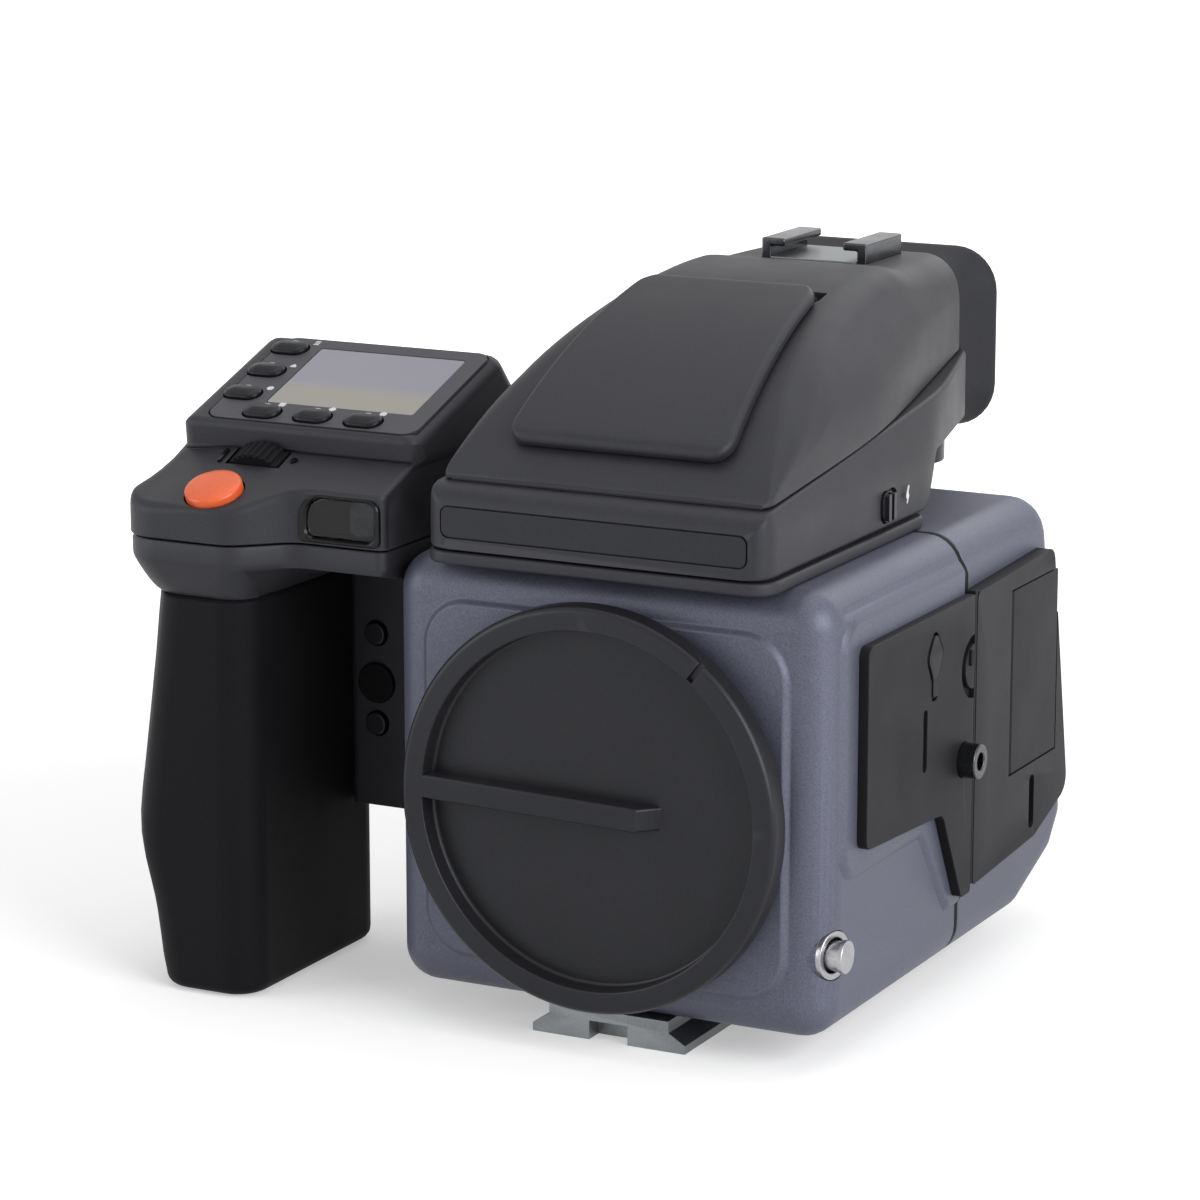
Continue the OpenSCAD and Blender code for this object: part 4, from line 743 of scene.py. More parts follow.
class CAMERA_OT_body(bpy.types.Operator):
    """Body casting with its raised front square and its side pad"""
    bl_idname = "camera_kit.body"
    bl_label = "Body"

    def execute(self, context):
        body = self.casting()
        carve(body, self.pad(), spindle("boss", on_washer, BOSS_FLARE, 64), operation="UNION")
        slice_off(body, SEAM_FRONT, False, size("seam_edge"))
        lens = moved(on_y, 0, LENS_Z)
        # Ends of the tools outside the casting and inside it.
        ahead, outside, above, past_washer = BODY_LOW.y - 6, SIDE + 15, BODY_HIGH.z + 5, 9.0
        stem_end, socket_end = SIDE - 5, SIDE - 10
        ring_rear = corners_of("lens_mount_ring")[1].y
        screen_low, screen_high = corners_of("focusing_screen")
        socket = middle_of("sync_socket")
        carve(
            body,
            block("cavity", (-SIDE + WALL, BODY_LOW.y + WALL, BODY_LOW.z + WALL),
                  (SIDE - WALL - CLEAR, REAR + PAST, BODY_HIGH.z - WALL)),
            rod("throat", lens, THROAT_R, ahead, BODY_LOW.y + THROAT_DEEP, steps=96),
            rod("ring_seat", lens, RING_SEAT_R, ahead, ring_rear, steps=96),
            block("screen_window",
                  (screen_low.x + SCREEN_LIP, screen_low.y + SCREEN_LIP, screen_low.z - WALL),
                  (screen_high.x - SCREEN_LIP, screen_high.y - SCREEN_LIP, above)),
            rod("washer_seat", on_washer, WASHER_R + WASHER_ROOM, WASHER_LOW, past_washer, steps=64),
            rod("release_bore", moved(on_x, RELEASE_Y, RELEASE_Z), BUTTON_BORE, stem_end, outside),
            rod("socket_bore", moved(on_x, socket.y, socket.z), SOCKET_BORE, socket_end, outside))
        settle(body, "camera", "lacquered_magnesium", "body_paint", "body_shell")
        return {"FINISHED"}

    def casting(self):
        """Outer form of the casting, which runs on past the seam"""
        edge, steps = size("body_edge"), 8
        front = BODY_LOW.y
        face = front + SQUARE_STEP
        skirt = rect(-SIDE, BODY_LOW.z, SIDE, BODY_HIGH.z, edge)
        margin = edge + SQUARE_MARGIN
        square = rect(-SQUARE_HALF, BODY_LOW.z + margin, SQUARE_HALF, BODY_HIGH.z - margin, SQUARE_R)
        ledge = [(x, z, LEDGE_R) for x, z, _ in inset(skirt, edge + CLEAR / 2)]
        rings = [level(skirt, REAR + 2 * PAST, steps)]
        for d, h in reversed(quarter(edge, steps)):
            rings.append(level(inset(skirt, d, least=1.2), face + h, steps))
        for k in range(steps + 1):
            t = k / steps
            rings.append(level(between(ledge, square, t), face + (front - face) * smooth(t), steps))
        return loft("body_casting", rings, on_y)

    def pad(self):
        """Raised pad of the side, with a soft rise all round"""
        steps = 8
        rings = [level(inset(PAD_OUTLINE, -PAD_SLOPE), SIDE - PAST)]
        for k in range(steps + 1):
            rise = (PAD_SINK + PAD_PROUD) * smooth(k / steps)
            rings.append(level(inset(PAD_OUTLINE, -PAD_SLOPE * (1 - k / steps)), SIDE - PAD_SINK + rise))
        return loft("pad", rings, on_x)


class CAMERA_OT_release(bpy.types.Operator):
    """Lens release: a flat steel button on a stem, in a steel washer"""
    bl_idname = "camera_kit.release"
    bl_label = "Lens release"

    def execute(self, context):
        low, high = corners_of("release_button")[0].x, BUTTON_HIGH
        stem = BUTTON_R - BUTTON_EDGE
        neck = high - BUTTON_HEAD
        profile = [(AXIS_R, low), (stem, low), (stem, neck - CLEAR), (BUTTON_R, neck)]
        profile += arc(stem, high - BUTTON_EDGE, BUTTON_EDGE, 0, 90, 4) + [(AXIS_R, high)]
        button = lathe("release_dome", profile, moved(on_x, RELEASE_Y, RELEASE_Z), 64)
        settle(button, "release_button", "brushed_steel", "bright_chrome", "release_button")
        rim, mouth = 0.2, 0.25
        ring = [(WASHER_HOLE, WASHER_LOW), (WASHER_R, WASHER_LOW)]
        ring += arc(WASHER_R - rim, WASHER_HIGH - rim, rim, 0, 90, 3)
        ring += arc(WASHER_HOLE + mouth, WASHER_HIGH - mouth, mouth, 90, 180, 3)
        washer = lathe("release_washer", ring, on_washer, 72)
        settle(washer, "camera", "brushed_steel", "bright_chrome", "release_collar", angle=40)
        return {"FINISHED"}


class CAMERA_OT_plate(bpy.types.Operator):
    """Quick release plate under the body"""
    bl_idname = "camera_kit.plate"
    bl_label = "Plate"

    def execute(self, context):
        keep("cast_aluminium", "quick_release_plate", edge=0.5, segments=3)
        return {"FINISHED"}


# Back

# Side outlines of the back's casting and of its hollow, whose front ends are added to them.
BACK_FORM = [(63.8, BACK_LOW.z, 6), (82.3, 13, 7), (89.3, 21.5, 7), (76.2, BACK_HIGH.z, 9)]
HOLLOW_LOW, HOLLOW_HIGH, HOLLOW_HALF = BACK_LOW.z + 3.5, BACK_HIGH.z - 3.5, SIDE - 3.5
HOLLOW_FORM = [(63, HOLLOW_LOW, 3), (79, 16, 3), (85.2, 23, 3), (72.2, HOLLOW_HIGH, 5)]
BACK_START, HOLLOW_FRONT, SENSOR_DEEP, CARD_LIP = SEAM_REAR - 12.4, SEAM_REAR + 3.1, 3.5, 2.0
# Half sizes of the rear bezel's seat, its corner and depth.
BEZEL_SEAT, BEZEL_SEAT_R, BEZEL_SEAT_DEEP = (38.3, 30.5), 4.2, 1.0
# Key wells on the rear face: half width, lower and upper edge, corner and depth.
KEY_WELL_HALF, KEY_WELL_LOW, KEY_WELL_HIGH, KEY_WELL_R, KEY_WELL_DEEP = 4.8, -28, -23, 2.4, 3.0
# Light seal: how far it lies under the edges of the castings, and its width.
SEAL_SHY, SEAL_WIDTH = 0.15, 5.0
# The seal's rise at the side pad: (x, distance past the panels' end, radius).
SEAL_RISE = [
    (43.3, 0.0, 0.05), (45.9, 0.0, 0.05), (45.9, 3.2, 0.3), (45.5, 4.3, 0.3), (44.85, 5.4, 0.3),
    (44.2, 6.3, 0.3), (43.7, 7.2, 0.05), (43.3, 7.2, 0.05)]
SEAL_RISE_TOP, SEAL_RISE_FOOT = PANEL_HIGH.z + 0.4, PANEL_LOW.z + 2.6


class CAMERA_OT_back(bpy.types.Operator):
    """Digital back's casting with its light seal"""
    bl_idname = "camera_kit.back"
    bl_label = "Digital back"

    def execute(self, context):
        edge = size("body_edge")
        form = [(BACK_START, BACK_LOW.z, 1), *BACK_FORM, (BACK_START, BACK_HIGH.z, 1)]
        back = bar("back_casting", form, -SIDE, SIDE, edge, edge, on_x, steps=8, arcs=8)
        slice_off(back, SEAM_REAR, True, size("seam_edge"))
        hollow = [(HOLLOW_FRONT, HOLLOW_LOW, 1), *HOLLOW_FORM, (HOLLOW_FRONT, HOLLOW_HIGH, 1)]
        sensor_low, sensor_high = corners_of("image_sensor")
        card_low, card_high = corners_of("card_socket")
        wells = []
        for i in range(1, 5):
            x = middle_of(f"back_key_{i}").x
            well = rect(x - KEY_WELL_HALF, KEY_WELL_LOW, x + KEY_WELL_HALF, KEY_WELL_HIGH, KEY_WELL_R)
            wells.append(bar("key_well", well, -KEY_WELL_DEEP, 0, place=on_rear))
        carve(
            back,
            bar("hollow", hollow, -HOLLOW_HALF, HOLLOW_HALF, place=on_x),
            block("sensor_window", (sensor_low.x, REAR - 1, sensor_low.z),
                  (sensor_high.x, HOLLOW_FRONT + SENSOR_DEEP, sensor_high.z)),
            block("card_bay", (card_high.x - 1, card_low.y + CARD_LIP, card_low.z + CARD_LIP),
                  (SIDE + 5, card_high.y - CARD_LIP, card_high.z - CARD_LIP)),
            bar("bezel_seat", around(0, 0, *BEZEL_SEAT, BEZEL_SEAT_R), -BEZEL_SEAT_DEEP, 3, place=on_rear),
            *wells)
        settle(back, "camera", "lacquered_magnesium", "body_paint", "back_shell")
        self.seal(edge)
        return {"FINISHED"}

    def seal(self, edge):
        """Rubber gasket that closes the seam, with a rise where it passes the side pad"""
        outer = inset(rect(-SIDE, BACK_LOW.z, SIDE, BACK_HIGH.z, edge), SEAL_SHY)
        half = SIDE - SEAL_WIDTH
        hole = rect(-half, BACK_LOW.z + SEAL_WIDTH, half, BACK_HIGH.z - SEAL_WIDTH, 3)
        stops = ((outer, SEAM_FRONT), (outer, SEAM_REAR), (hole, SEAM_REAR), (hole, SEAM_FRONT))
        rings = [level(outline, y) for outline, y in stops]
        seal = loft("light_seal", rings, on_y, closed=True)
        upper = [(x, SEAL_RISE_TOP + z, r) for x, z, r in SEAL_RISE]
        lower = [(x, SEAL_RISE_FOOT - z, r) for x, z, r in reversed(SEAL_RISE)]
        for outline in (upper, lower):
            rise = bar("rise", outline, SEAM_FRONT + CLEAR / 2, SEAM_REAR - CLEAR / 2, place=on_y, steps=3)
            carve(seal, rise, operation="UNION")
        settle(seal, "camera", "seal_rubber_and_shade", "rubber")


class CAMERA_OT_rear(bpy.types.Operator):
    """Rear display with its bezel and keys"""
    bl_idname = "camera_kit.rear"
    bl_label = "Rear display"

    def execute(self, context):
        keep("satin_abs", "rear_bezel", edge=0.35)
        keep("screen_glass", "rear_display", edge=0.05)
        keep("grained_abs", *[f"back_key_{i}" for i in range(1, 5)], edge=0.5, segments=3)
        return {"FINISHED"}


# Side panels

# Lip between the two panels, and near-black sheets on the floors of three grooves, which are painted shade
# for the grooves: a crescent, the flap's slit and the finger slot.
PANEL_FACE = PANEL_HIGH.x
LIP = rect(PANEL_HIGH.y + 0.3, 21.4, PANEL_HIGH.y + 1.3, 79.6, 0.25)
CRESCENT_MID, CRESCENT_START, CRESCENT_TURN = (PANEL_HIGH.y, 65), 92, 176
CRESCENT_FLOOR, CRESCENT_FACE = PANEL_FACE - 1.2, PANEL_FACE - 0.9
CRESCENT = [(4.5, CRESCENT_FLOOR), (6.1, CRESCENT_FLOOR), (6.1, CRESCENT_FACE), (4.5, CRESCENT_FACE)]
SLIT, SLIT_FLOOR, SLIT_FACE = rect(4.5, 49.6, 6.1, 61.4, 0.79), PANEL_FACE - 0.8, PANEL_FACE - 0.55
FINGER_SLOT = rect(59.1, 25.1, 61.5, 35.9, 1.19)
FINGER_FLOOR, FINGER_FACE = PANEL_FACE - 1.4, PANEL_FACE - 1.1
# Index peg beside the crescent.
PEG, PEG_PROUD, PEG_EDGE, LIP_EDGE = rect(26.3, 65.4, 27.7, 68.6, 0.69), 0.4, 0.25, 0.2


class CAMERA_OT_panels(bpy.types.Operator):
    """Side panels with their port flap, card door, sync socket, lip and peg, and near-black sheets of
    painted shade in their grooves
    """
    bl_idname = "camera_kit.panels"
    bl_label = "Side panels"

    def execute(self, context):
        keep("panel_abs", "side_panel", "back_side_panel", edge=size("panel_edge"), segments=3)
        keep("panel_abs", "port_flap", edge=0.15)
        keep("panel_abs", "card_door", edge=0.35)
        keep("blackened_steel", "sync_socket", edge=0.75, segments=4)
        lip = bar("panel_lip", LIP, SIDE + 2 * CLEAR, PANEL_FACE - CLEAR, 0, LIP_EDGE, on_x)
        settle(lip, "camera", "panel_abs", "black_plastic")
        # Crescent, slit and finger slot: near-black sheets on the grooves' floors, painted shade.
        crescent = lathe("lip", CRESCENT, moved(on_x, *CRESCENT_MID), 24, CRESCENT_START, CRESCENT_TURN)
        slit = bar("lip", SLIT, SLIT_FLOOR, SLIT_FACE, place=on_x)
        slot = bar("lip", FINGER_SLOT, FINGER_FLOOR, FINGER_FACE, place=on_x)
        peg = bar("peg", PEG, PANEL_FACE - CLEAR, PANEL_FACE + PEG_PROUD, 0, PEG_EDGE, on_x)
        join([crescent, slit, slot, peg], "peg_and_groove_shade", "seal_rubber_and_shade", "rubber")
        return {"FINISHED"}


# Lens cap, whose heights count forward along the lens axis

CAP_BACK, CAP_DISH, CAP_STEP = 35.3, 36.9, 0.7
# The rim's width at the dish and at its top, with the radii there.
RIM_FOOT, RIM_FOOT_R, RIM_TOP, RIM_TOP_R = 5.2, 0.7, 4.1, 0.4
# Bayonet collar: its radii, and the tabs' angles in degrees.
COLLAR_IN, COLLAR_OUT, TAB_START, TAB_TURN = 26.4, 29.4, 70, 40
TAB_IN, TAB_OUT, TAB_THICK = 28.9, 31.0, 1.5
# Handle bar: half width, edge, tilt in degrees, gap to the rim, and x of its tip and of its foot.
HANDLE_HALF, HANDLE_EDGE, HANDLE_TILT, HANDLE_GAP, HANDLE_TIP, HANDLE_FOOT = 2.3, 0.6, 1.5, 1.6, 10.5, 14.6
# Index notch: half width, depth, length and its angle in degrees.
NOTCH_HALF, NOTCH_DEEP, NOTCH_LONG, NOTCH_TURN = 0.6, 1.0, 4.0, 38


class CAMERA_OT_cap(bpy.types.Operator):
    """Lens cap with rim, dish, handle bar, bayonet tabs and index notch"""
    bl_idname = "camera_kit.cap"
    bl_label = "Lens cap"

    def execute(self, context):
        crown, collar, r = -CAP_LOW.y, -CAP_HIGH.y, CAP_HIGH.x
        edge = size("cap_edge")
        profile = [(AXIS_R, CAP_DISH)]
        profile += arc(r - RIM_FOOT, CAP_DISH + RIM_FOOT_R, RIM_FOOT_R, 270, 360, 4)
        profile += arc(r - RIM_TOP, crown - RIM_TOP_R, RIM_TOP_R, 180, 90, 3)
        profile += arc(r - edge, crown - edge, edge, 90, 0, 6)
        skirt_low, step_low = CAP_DISH - 0.5, CAP_DISH - 1
        profile += [(r, skirt_low), (r - CAP_STEP, step_low), (r - CAP_STEP, CAP_BACK)]
        profile += [(COLLAR_OUT, CAP_BACK), (COLLAR_OUT, collar), (COLLAR_IN, collar)]
        profile += [(COLLAR_IN, CAP_BACK), (AXIS_R, CAP_BACK)]
        cap = lathe("cap_dish", profile, on_lens, 144)
        front, root = CAP_LOW.y, -CAP_DISH + 0.9
        grasp, end = front + CLEAR, -r + HANDLE_GAP
        form = [(end, root, 0.1), (end, grasp, 0.4), (HANDLE_TIP, grasp, 0.9), (HANDLE_FOOT, root, 0.1)]
        tilt = spun(HANDLE_TILT)
        handle = bar("handle", form, -HANDLE_HALF, HANDLE_HALF, HANDLE_EDGE, HANDLE_EDGE, tilt)
        carve(cap, handle, operation="UNION")
        notch = around(0, front, NOTCH_HALF, NOTCH_DEEP, NOTCH_HALF / 2)
        carve(cap, bar("notch", notch, r - NOTCH_LONG, r + 1, place=spun(NOTCH_TURN)))
        ledge = collar + TAB_THICK
        tab = [(TAB_IN, collar), (TAB_OUT, collar), (TAB_OUT, ledge), (TAB_IN, ledge)]
        for i in range(3):
            carve(cap, lathe("tab", tab, on_lens, 10, TAB_START + 120 * i, TAB_TURN), operation="UNION")
        settle(cap, "lens_cap", "cap_abs", "black_plastic", "lens_cap")
        return {"FINISHED"}


# Finder

# How far the seam between base and roof climbs from front to rear, and its width.
WAIST_RISE, WAIST_GAP = 12.0, 0.5
# Prism outline (y, z) with its room, and the eyepiece window.
PRISM_HALF = 24.4
PRISM_ROOM = [(-24.4, 92.1), (28.4, 92.1), (28.4, 112.4), (11.9, 121.4), (4.1, 121.4), (-24.4, 97.4)]
EYE_WINDOW = rect(-14, 107.5, 14, 124.5, 3)
# Dioptre knob's axis (x, y), its bore and the bore's ends.
KNOB, KNOB_BORE, KNOB_BORE_ENDS = (19.5, 64.0), 1.6, (100, 107)
# Flash: the pin (y, z) that the lid turns on, its barrel, and the lamp's place, half sizes and depth.
LID_PIN, BARREL_R, PIN_BORE, BARREL_HALF = (22.0, 133.34), 1.5, 0.85, 17.0
LAMP_Y, LAMP_HALF, LAMP_DEEP, LAMP_ROOM = -10.0, (16.0, 8.0), 7.0, 1.6


def waist(y):
    """Height of the roof's lower edge."""
    return ROOF_LOW.z + WAIST_RISE * (y - ROOF_LOW.y) / (ROOF_HIGH.y - ROOF_LOW.y)


def roof_z(y):
    """Height of the roof's arch."""
    return ROOF_Z + math.sqrt(ROOF_R * ROOF_R - (y - ROOF_Y) ** 2)


on_lamp = tilted(LAMP_Y, roof_z(LAMP_Y), math.asin((ROOF_Y - LAMP_Y) / ROOF_R))


def optics_room():
    """Tools that leave room for the prism and the eyepiece window."""
    prism = [(y, z, 0.1) for y, z in PRISM_ROOM]
    return [bar("prism_room", prism, -PRISM_HALF, PRISM_HALF, place=on_x, steps=1),
            bar("window", EYE_WINDOW, 27, 90, place=on_y)]


class CAMERA_OT_finder(bpy.types.Operator):
    """Finder base with its foot and name field"""
    bl_idname = "camera_kit.finder"
    bl_label = "Finder base"

    def execute(self, context):
        front, rear, wide = BASE_LOW.y, BASE_HIGH.y, BASE_HIGH.x
        foot, foot_rear = FOOT_HIGH.z, FOOT_HIGH.y
        taper, shoulder, shoulder_lean = 12 / 47, 101.5, 0.364
        brow, brow_end = 103.5, ROOF_LOW.y
        belly_start, belly_run, belly_rise = foot_rear - 1.5, 10, 10
        front_r, rear_r, brow_r, heel_r, low_r, high_r = 5, 4, 3, 3, 0.8, 0.9
        parts = 8

        def plan(y):
            ends = round_in(y, front, rear, front_r if y < 0 else rear_r)
            return wide - taper * ramp(y - foot_rear, ease=2) - ends

        def lean(z):
            return wide - shoulder_lean * ramp(z - shoulder, ease=0.6)

        def top(y):
            line = waist(y) - WAIST_GAP
            if y < brow_end:
                line = brow + (waist(brow_end) - WAIST_GAP - brow) * (y - front) / (brow_end - front)
            return line - round_in(y, front, FAR, brow_r)

        def bottom(y):
            rise = smooth((y - belly_start) / belly_run) * belly_rise
            return foot + WAIST_GAP + rise + round_in(y, -FAR, rear, heel_r)

        ys = first_stations(front, front_r, 10)
        ys += [-30, -20, -10, 0, 10, 20, 28] + [32 + k for k in range(16)] + [50, 55, 60, 65, 70, 75]
        ys += last_stations(rear, rear_r, 8)
        rings = []
        for y in ys:
            low, high = bottom(y), top(y)
            half = [(lesser(plan(y), lean(low)), low, low_r)]
            for k in range(1, parts):
                z = low + (high - low) * k / parts
                half.append((lesser(plan(y), lean(z)), z, 0))
            half.append((lesser(plan(y), lean(high)), high, high_r))
            rings.append(level(mirrored(half), y, 5))
        base = loft("finder_casing", rings, on_y)
        band = rect(-wide + PAST, front + PAST, wide - PAST, foot_rear - PAST, 4)
        carve(base, bar("seam_band", band, foot, foot + PAST), operation="UNION")
        plate_low, plate_high = corners_of("nameplate")
        catch_low, catch_high = corners_of("flash_catch")
        gap, slide, outside = 0.3, 2.0, wide + 4.5
        field = rect(plate_low.x - gap, plate_low.z - gap, plate_high.x + gap, plate_high.z + gap, 1.7)
        slot_rear = catch_high.y + slide + gap
        slot = rect(catch_low.y - 2 * gap, catch_low.z - gap, slot_rear, catch_high.z + gap, 2.2)
        carve(
            base, *optics_room(),
            bar("name_field", field, front - PAST, plate_high.y, place=on_y),
            bar("catch_slot", slot, catch_low.x - gap, outside, place=on_x),
            rod("pin_bore", moved(on_z, *KNOB), KNOB_BORE, *KNOB_BORE_ENDS))
        settle(base, "camera", "grained_abs", "black_plastic", "finder_base")
        keep("grained_abs", "finder_foot", edge=0.7, segments=3)
        keep("satin_abs", "nameplate", edge=0.1)
        return {"FINISHED"}


class CAMERA_OT_roof(bpy.types.Operator):
    """Finder roof with its crest, its flash bay and its shoe seat"""
    bl_idname = "camera_kit.roof"
    bl_label = "Finder roof"

    def execute(self, context):
        front, rear = ROOF_LOW.y + 0.3, ROOF_HIGH.y
        wide, taper, taper_start = 34.5, 12 / 73, 10
        brim, wall_lean, shoulder, shoulder_lean = 103.5, 0.074, 117, 0.531
        shoe_step, shoe_run = 1.5, 9
        front_r, rear_r, heel_r, least_high = 4, 5, 4.5, 0.6
        crest, ease, parts = size("crest"), 1.5, 8

        def plan(y):
            ends = round_in(y, front - least_high, rear, front_r if y < 0 else rear_r)
            return wide - taper * ramp(y - taper_start, ease=6) - ends

        def lean(z):
            return wide - wall_lean * (z - brim) - shoulder_lean * ramp(z - shoulder, ease=2.5)

        def top(y):
            line = roof_z(min(y, ROOF_Y)) - shoe_step * smooth((y - ROOF_Y) / shoe_run)
            return line - round_in(y, -FAR, rear, heel_r)

        ys = first_stations(front, front_r, 6) + [-27 + 3 * k for k in range(25)]
        ys += [48, 50, 52, 54, 57, 62, 67, 72, 76] + last_stations(rear, rear_r, 8)
        rings = []
        for y in sorted(ys):
            low = waist(y)
            high = max(top(y), low + least_high)
            bend = min(crest, 0.5 * (high - low))
            half = []
            for k in range(parts + 1):
                z = low + (high - low - 1.1 * bend) * k / parts
                half.append((lesser(plan(y), lean(z), ease), z, 0))
            half.append((lesser(plan(y), lean(high), ease), high, bend))
            rings.append(level(mirrored(half), y, 8))
        roof = loft("finder_dome", rings, on_y)
        # A tongue under the roof closes the seam to the base from inside.
        tongue, tongue_in, tongue_down, tongue_up = [], 1.2, 1.1, 0.4
        for y in (-33.1, -31, -26, -20, -10, 0, 10, 20, 30, 40, 50, 60, 70, 76, 80.5):
            low = waist(y)
            half = lesser(plan(y), lean(low), ease) - tongue_in
            foot, head = low - tongue_down, low + tongue_up
            tongue.append([(-half, foot, y), (half, foot, y), (half, head, y), (-half, head, y)])
        carve(roof, loft("tongue", tongue, on_y), operation="UNION")
        pin_y, pin_z = LID_PIN
        hinge_half = BARREL_HALF + 1.3
        shoe_low, shoe_high = corners_of("shoe_rails")
        bay = around(0, 0, LAMP_HALF[0] + LAMP_ROOM, LAMP_HALF[1] + LAMP_ROOM, 2)
        carve(
            roof, *optics_room(),
            block("hinge_room", (-hinge_half, pin_y - 2.1, pin_z - 2.14),
                  (hinge_half, pin_y + 2.9, shoe_high.z)),
            bar("lamp_room", bay, -LAMP_DEEP - LAMP_ROOM, 6, place=on_lamp),
            block("shoe_seat", (shoe_low.x - CLEAR, shoe_low.y - CLEAR, shoe_low.z),
                  (shoe_high.x + CLEAR, shoe_high.y + CLEAR, shoe_high.z)))
        settle(roof, "camera", "grained_abs", "black_plastic", "finder_roof")
        return {"FINISHED"}


class CAMERA_OT_flash_lid(bpy.types.Operator):
    """Flash lid with its hinge barrel, its catch and the sign beside it"""
    bl_idname = "camera_kit.flash_lid"
    bl_label = "Flash lid"

    def execute(self, context):
        edge = size("lid_edge")
        front, rear, rise, wide, taper = -27.4, 22.3, 2.9, 23, 4.8
        front_r, rear_r, foot_r, foot_gap = 4, 5, 0.7, 0.35

        def bent(u, w, y):
            k = (ROOF_R + w) / ROOF_R
            return (u, ROOF_Y + (y - ROOF_Y) * k, ROOF_Z + (roof_z(y) - ROOF_Z) * k)

        ys = first_stations(front, front_r, 8) + [-20 + 4 * k for k in range(10)]
        ys += last_stations(rear, rear_r, 8)
        rings = []
        for y in ys:
            ends = round_in(y, front, rear, front_r if y < 0 else rear_r)
            half = wide - taper * (y - front) / (rear - front) - ends
            high = rise - round_in(y, front, rear, edge)
            low = foot_gap + 0.5 * round_in(y, front, rear, foot_r)
            ring = [(-half, low, 0.5), (half, low, 0.5), (half, high, edge), (-half, high, edge)]
            rings.append(level(ring, y, 6, 4))
        lid = loft("flash_cover", rings, bent)
        pin_y, pin_z = LID_PIN
        pin = moved(on_x, pin_y, pin_z)
        carve(lid, rod("barrel", pin, BARREL_R, -BARREL_HALF, BARREL_HALF, 32),
              block("link", (-BARREL_HALF, pin_y - 1.5, pin_z), (BARREL_HALF, pin_y - 0.1, pin_z + 2.26)),
              operation="UNION")
        carve(lid, rod("pin_bore", pin, PIN_BORE, -BARREL_HALF - 8, BARREL_HALF + 8, 24))
        settle(lid, "flash_unit", "grained_abs", "black_plastic", "flash_lid")
        keep("satin_abs", "flash_catch", edge=0.3, segments=3)
        keep("blackened_steel", "hinge_pins", edge=0.1)
        self.sign()
        return {"FINISHED"}

    def sign(self):
        """Printed bolt beside the catch"""
        y, z, thick = 24.5, 97.6, 0.11
        bolt = [(0.3, 2.2), (-0.9, -0.2), (-0.1, -0.2), (-0.5, -2.2), (0.9, 0.5), (0.1, 0.5), (0.9, 2.2)]
        face = BASE_HIGH.x - 0.08
        bolt = [(y + u, z + v, 0.02) for u, v in bolt]
        sign = bar("flash_sign", bolt, face, face + thick, place=on_x, steps=1)
        settle(sign, "camera", "printed_ink", "black_plastic")


class CAMERA_OT_flash_head(bpy.types.Operator):
    """Flash head under the lid: housing, trough reflector, tube and ribbed window"""
    bl_idname = "camera_kit.flash_head"
    bl_label = "Flash head"

    # Middle of the tube, in front of the lamp's middle and under the roof's arch.
    tube_v, tube_w = -5.6, -3.8
    mouth_low, mouth_high = -6.3, -1.3

    def execute(self, context):
        half_u, half_v = LAMP_HALF
        head = bar("flash_head", around(0, 0, half_u, half_v, 1.2), -LAMP_DEEP, 0.7, 0.8, place=on_lamp)
        mouth = rect(2 - half_u, self.mouth_low, half_u - 2, self.mouth_high, 0.8)
        opening = bar("lamp_opening", mouth, -half_v - 1, -3.5, place=lambda u, v, w: on_lamp(u, w, v))
        carve(head, opening)
        settle(head, "flash_unit", "satin_abs", "satin_plastic", "flash_lamp")
        bowl_back, bowl_deep, bowl_half, bowl_rear = -4.0, 3.1, 2.3, -3.6
        bowl = []
        for k in range(13):
            t = k / 6 - 1
            bowl.append((bowl_back - bowl_deep * t * t, self.tube_w + bowl_half * t))
        bowl += [(bowl_rear, self.tube_w + bowl_half), (bowl_rear, self.tube_w - bowl_half)]
        trough = strip("flash_reflector", bowl, half_u - 2.3, on_lamp)
        settle(trough, "flash_unit", "silvered_glass", "silvered_glass")
        ends = [(0.45, -13.2), (0.45, -12.4), (0.9, -11.8)]
        ends += [(r, -u) for r, u in reversed(ends)]
        tube = spindle("flash_tube", lambda u, v, w: on_lamp(w, u + self.tube_v, v + self.tube_w), ends, 24)
        settle(tube, "flash_unit", "optical_glass", "clear_glass", angle=50)
        rib, pitch, face, inside = 0.25, 0.3, -7.95, -7.3
        low = self.mouth_low + 0.1
        ribs = [(face + rib * (k % 2), low + pitch * k) for k in range(17)]
        ribs += [(inside, low + pitch * 16), (inside, low)]
        window = strip("flash_window", ribs, half_u - 2.1, on_lamp)
        settle(window, "flash_unit", "ribbed_polycarbonate", "clear_glass", angle=20)
        return {"FINISHED"}


class CAMERA_OT_shoe(bpy.types.Operator):
    """Accessory shoe: plate and two rails"""
    bl_idname = "camera_kit.shoe"
    bl_label = "Accessory shoe"

    def execute(self, context):
        keep("blackened_steel", "shoe_rails", edge=0.4, segments=3)
        keep("cast_aluminium", "shoe_plate", edge=0.15)
        return {"FINISHED"}


# Eyecup rings from its root out over the lip and back in: width, height, corner radius, distance out.
EYECUP_FORM = [
    (39, 29, 6, 0), (39.4, 29.4, 6, 1.5), (41.5, 31, 7, 4.6), (45, 33.8, 8, 8.4), (48, 36.2, 9, 10.8),
    (49, 37, 9, 11.8), (48.8, 36.8, 9, 12.5), (48, 36, 8.6, 12.95), (46.6, 34.6, 8.4, 13),
    (45.4, 33.4, 8, 12.5), (43.6, 31.8, 7.6, 10.8), (40, 29, 7, 7), (36.6, 26, 6, 3.6),
    (33, 22.6, 5, 1.9), (29, 18, 4, 1.6), (29, 18, 4, 0)]


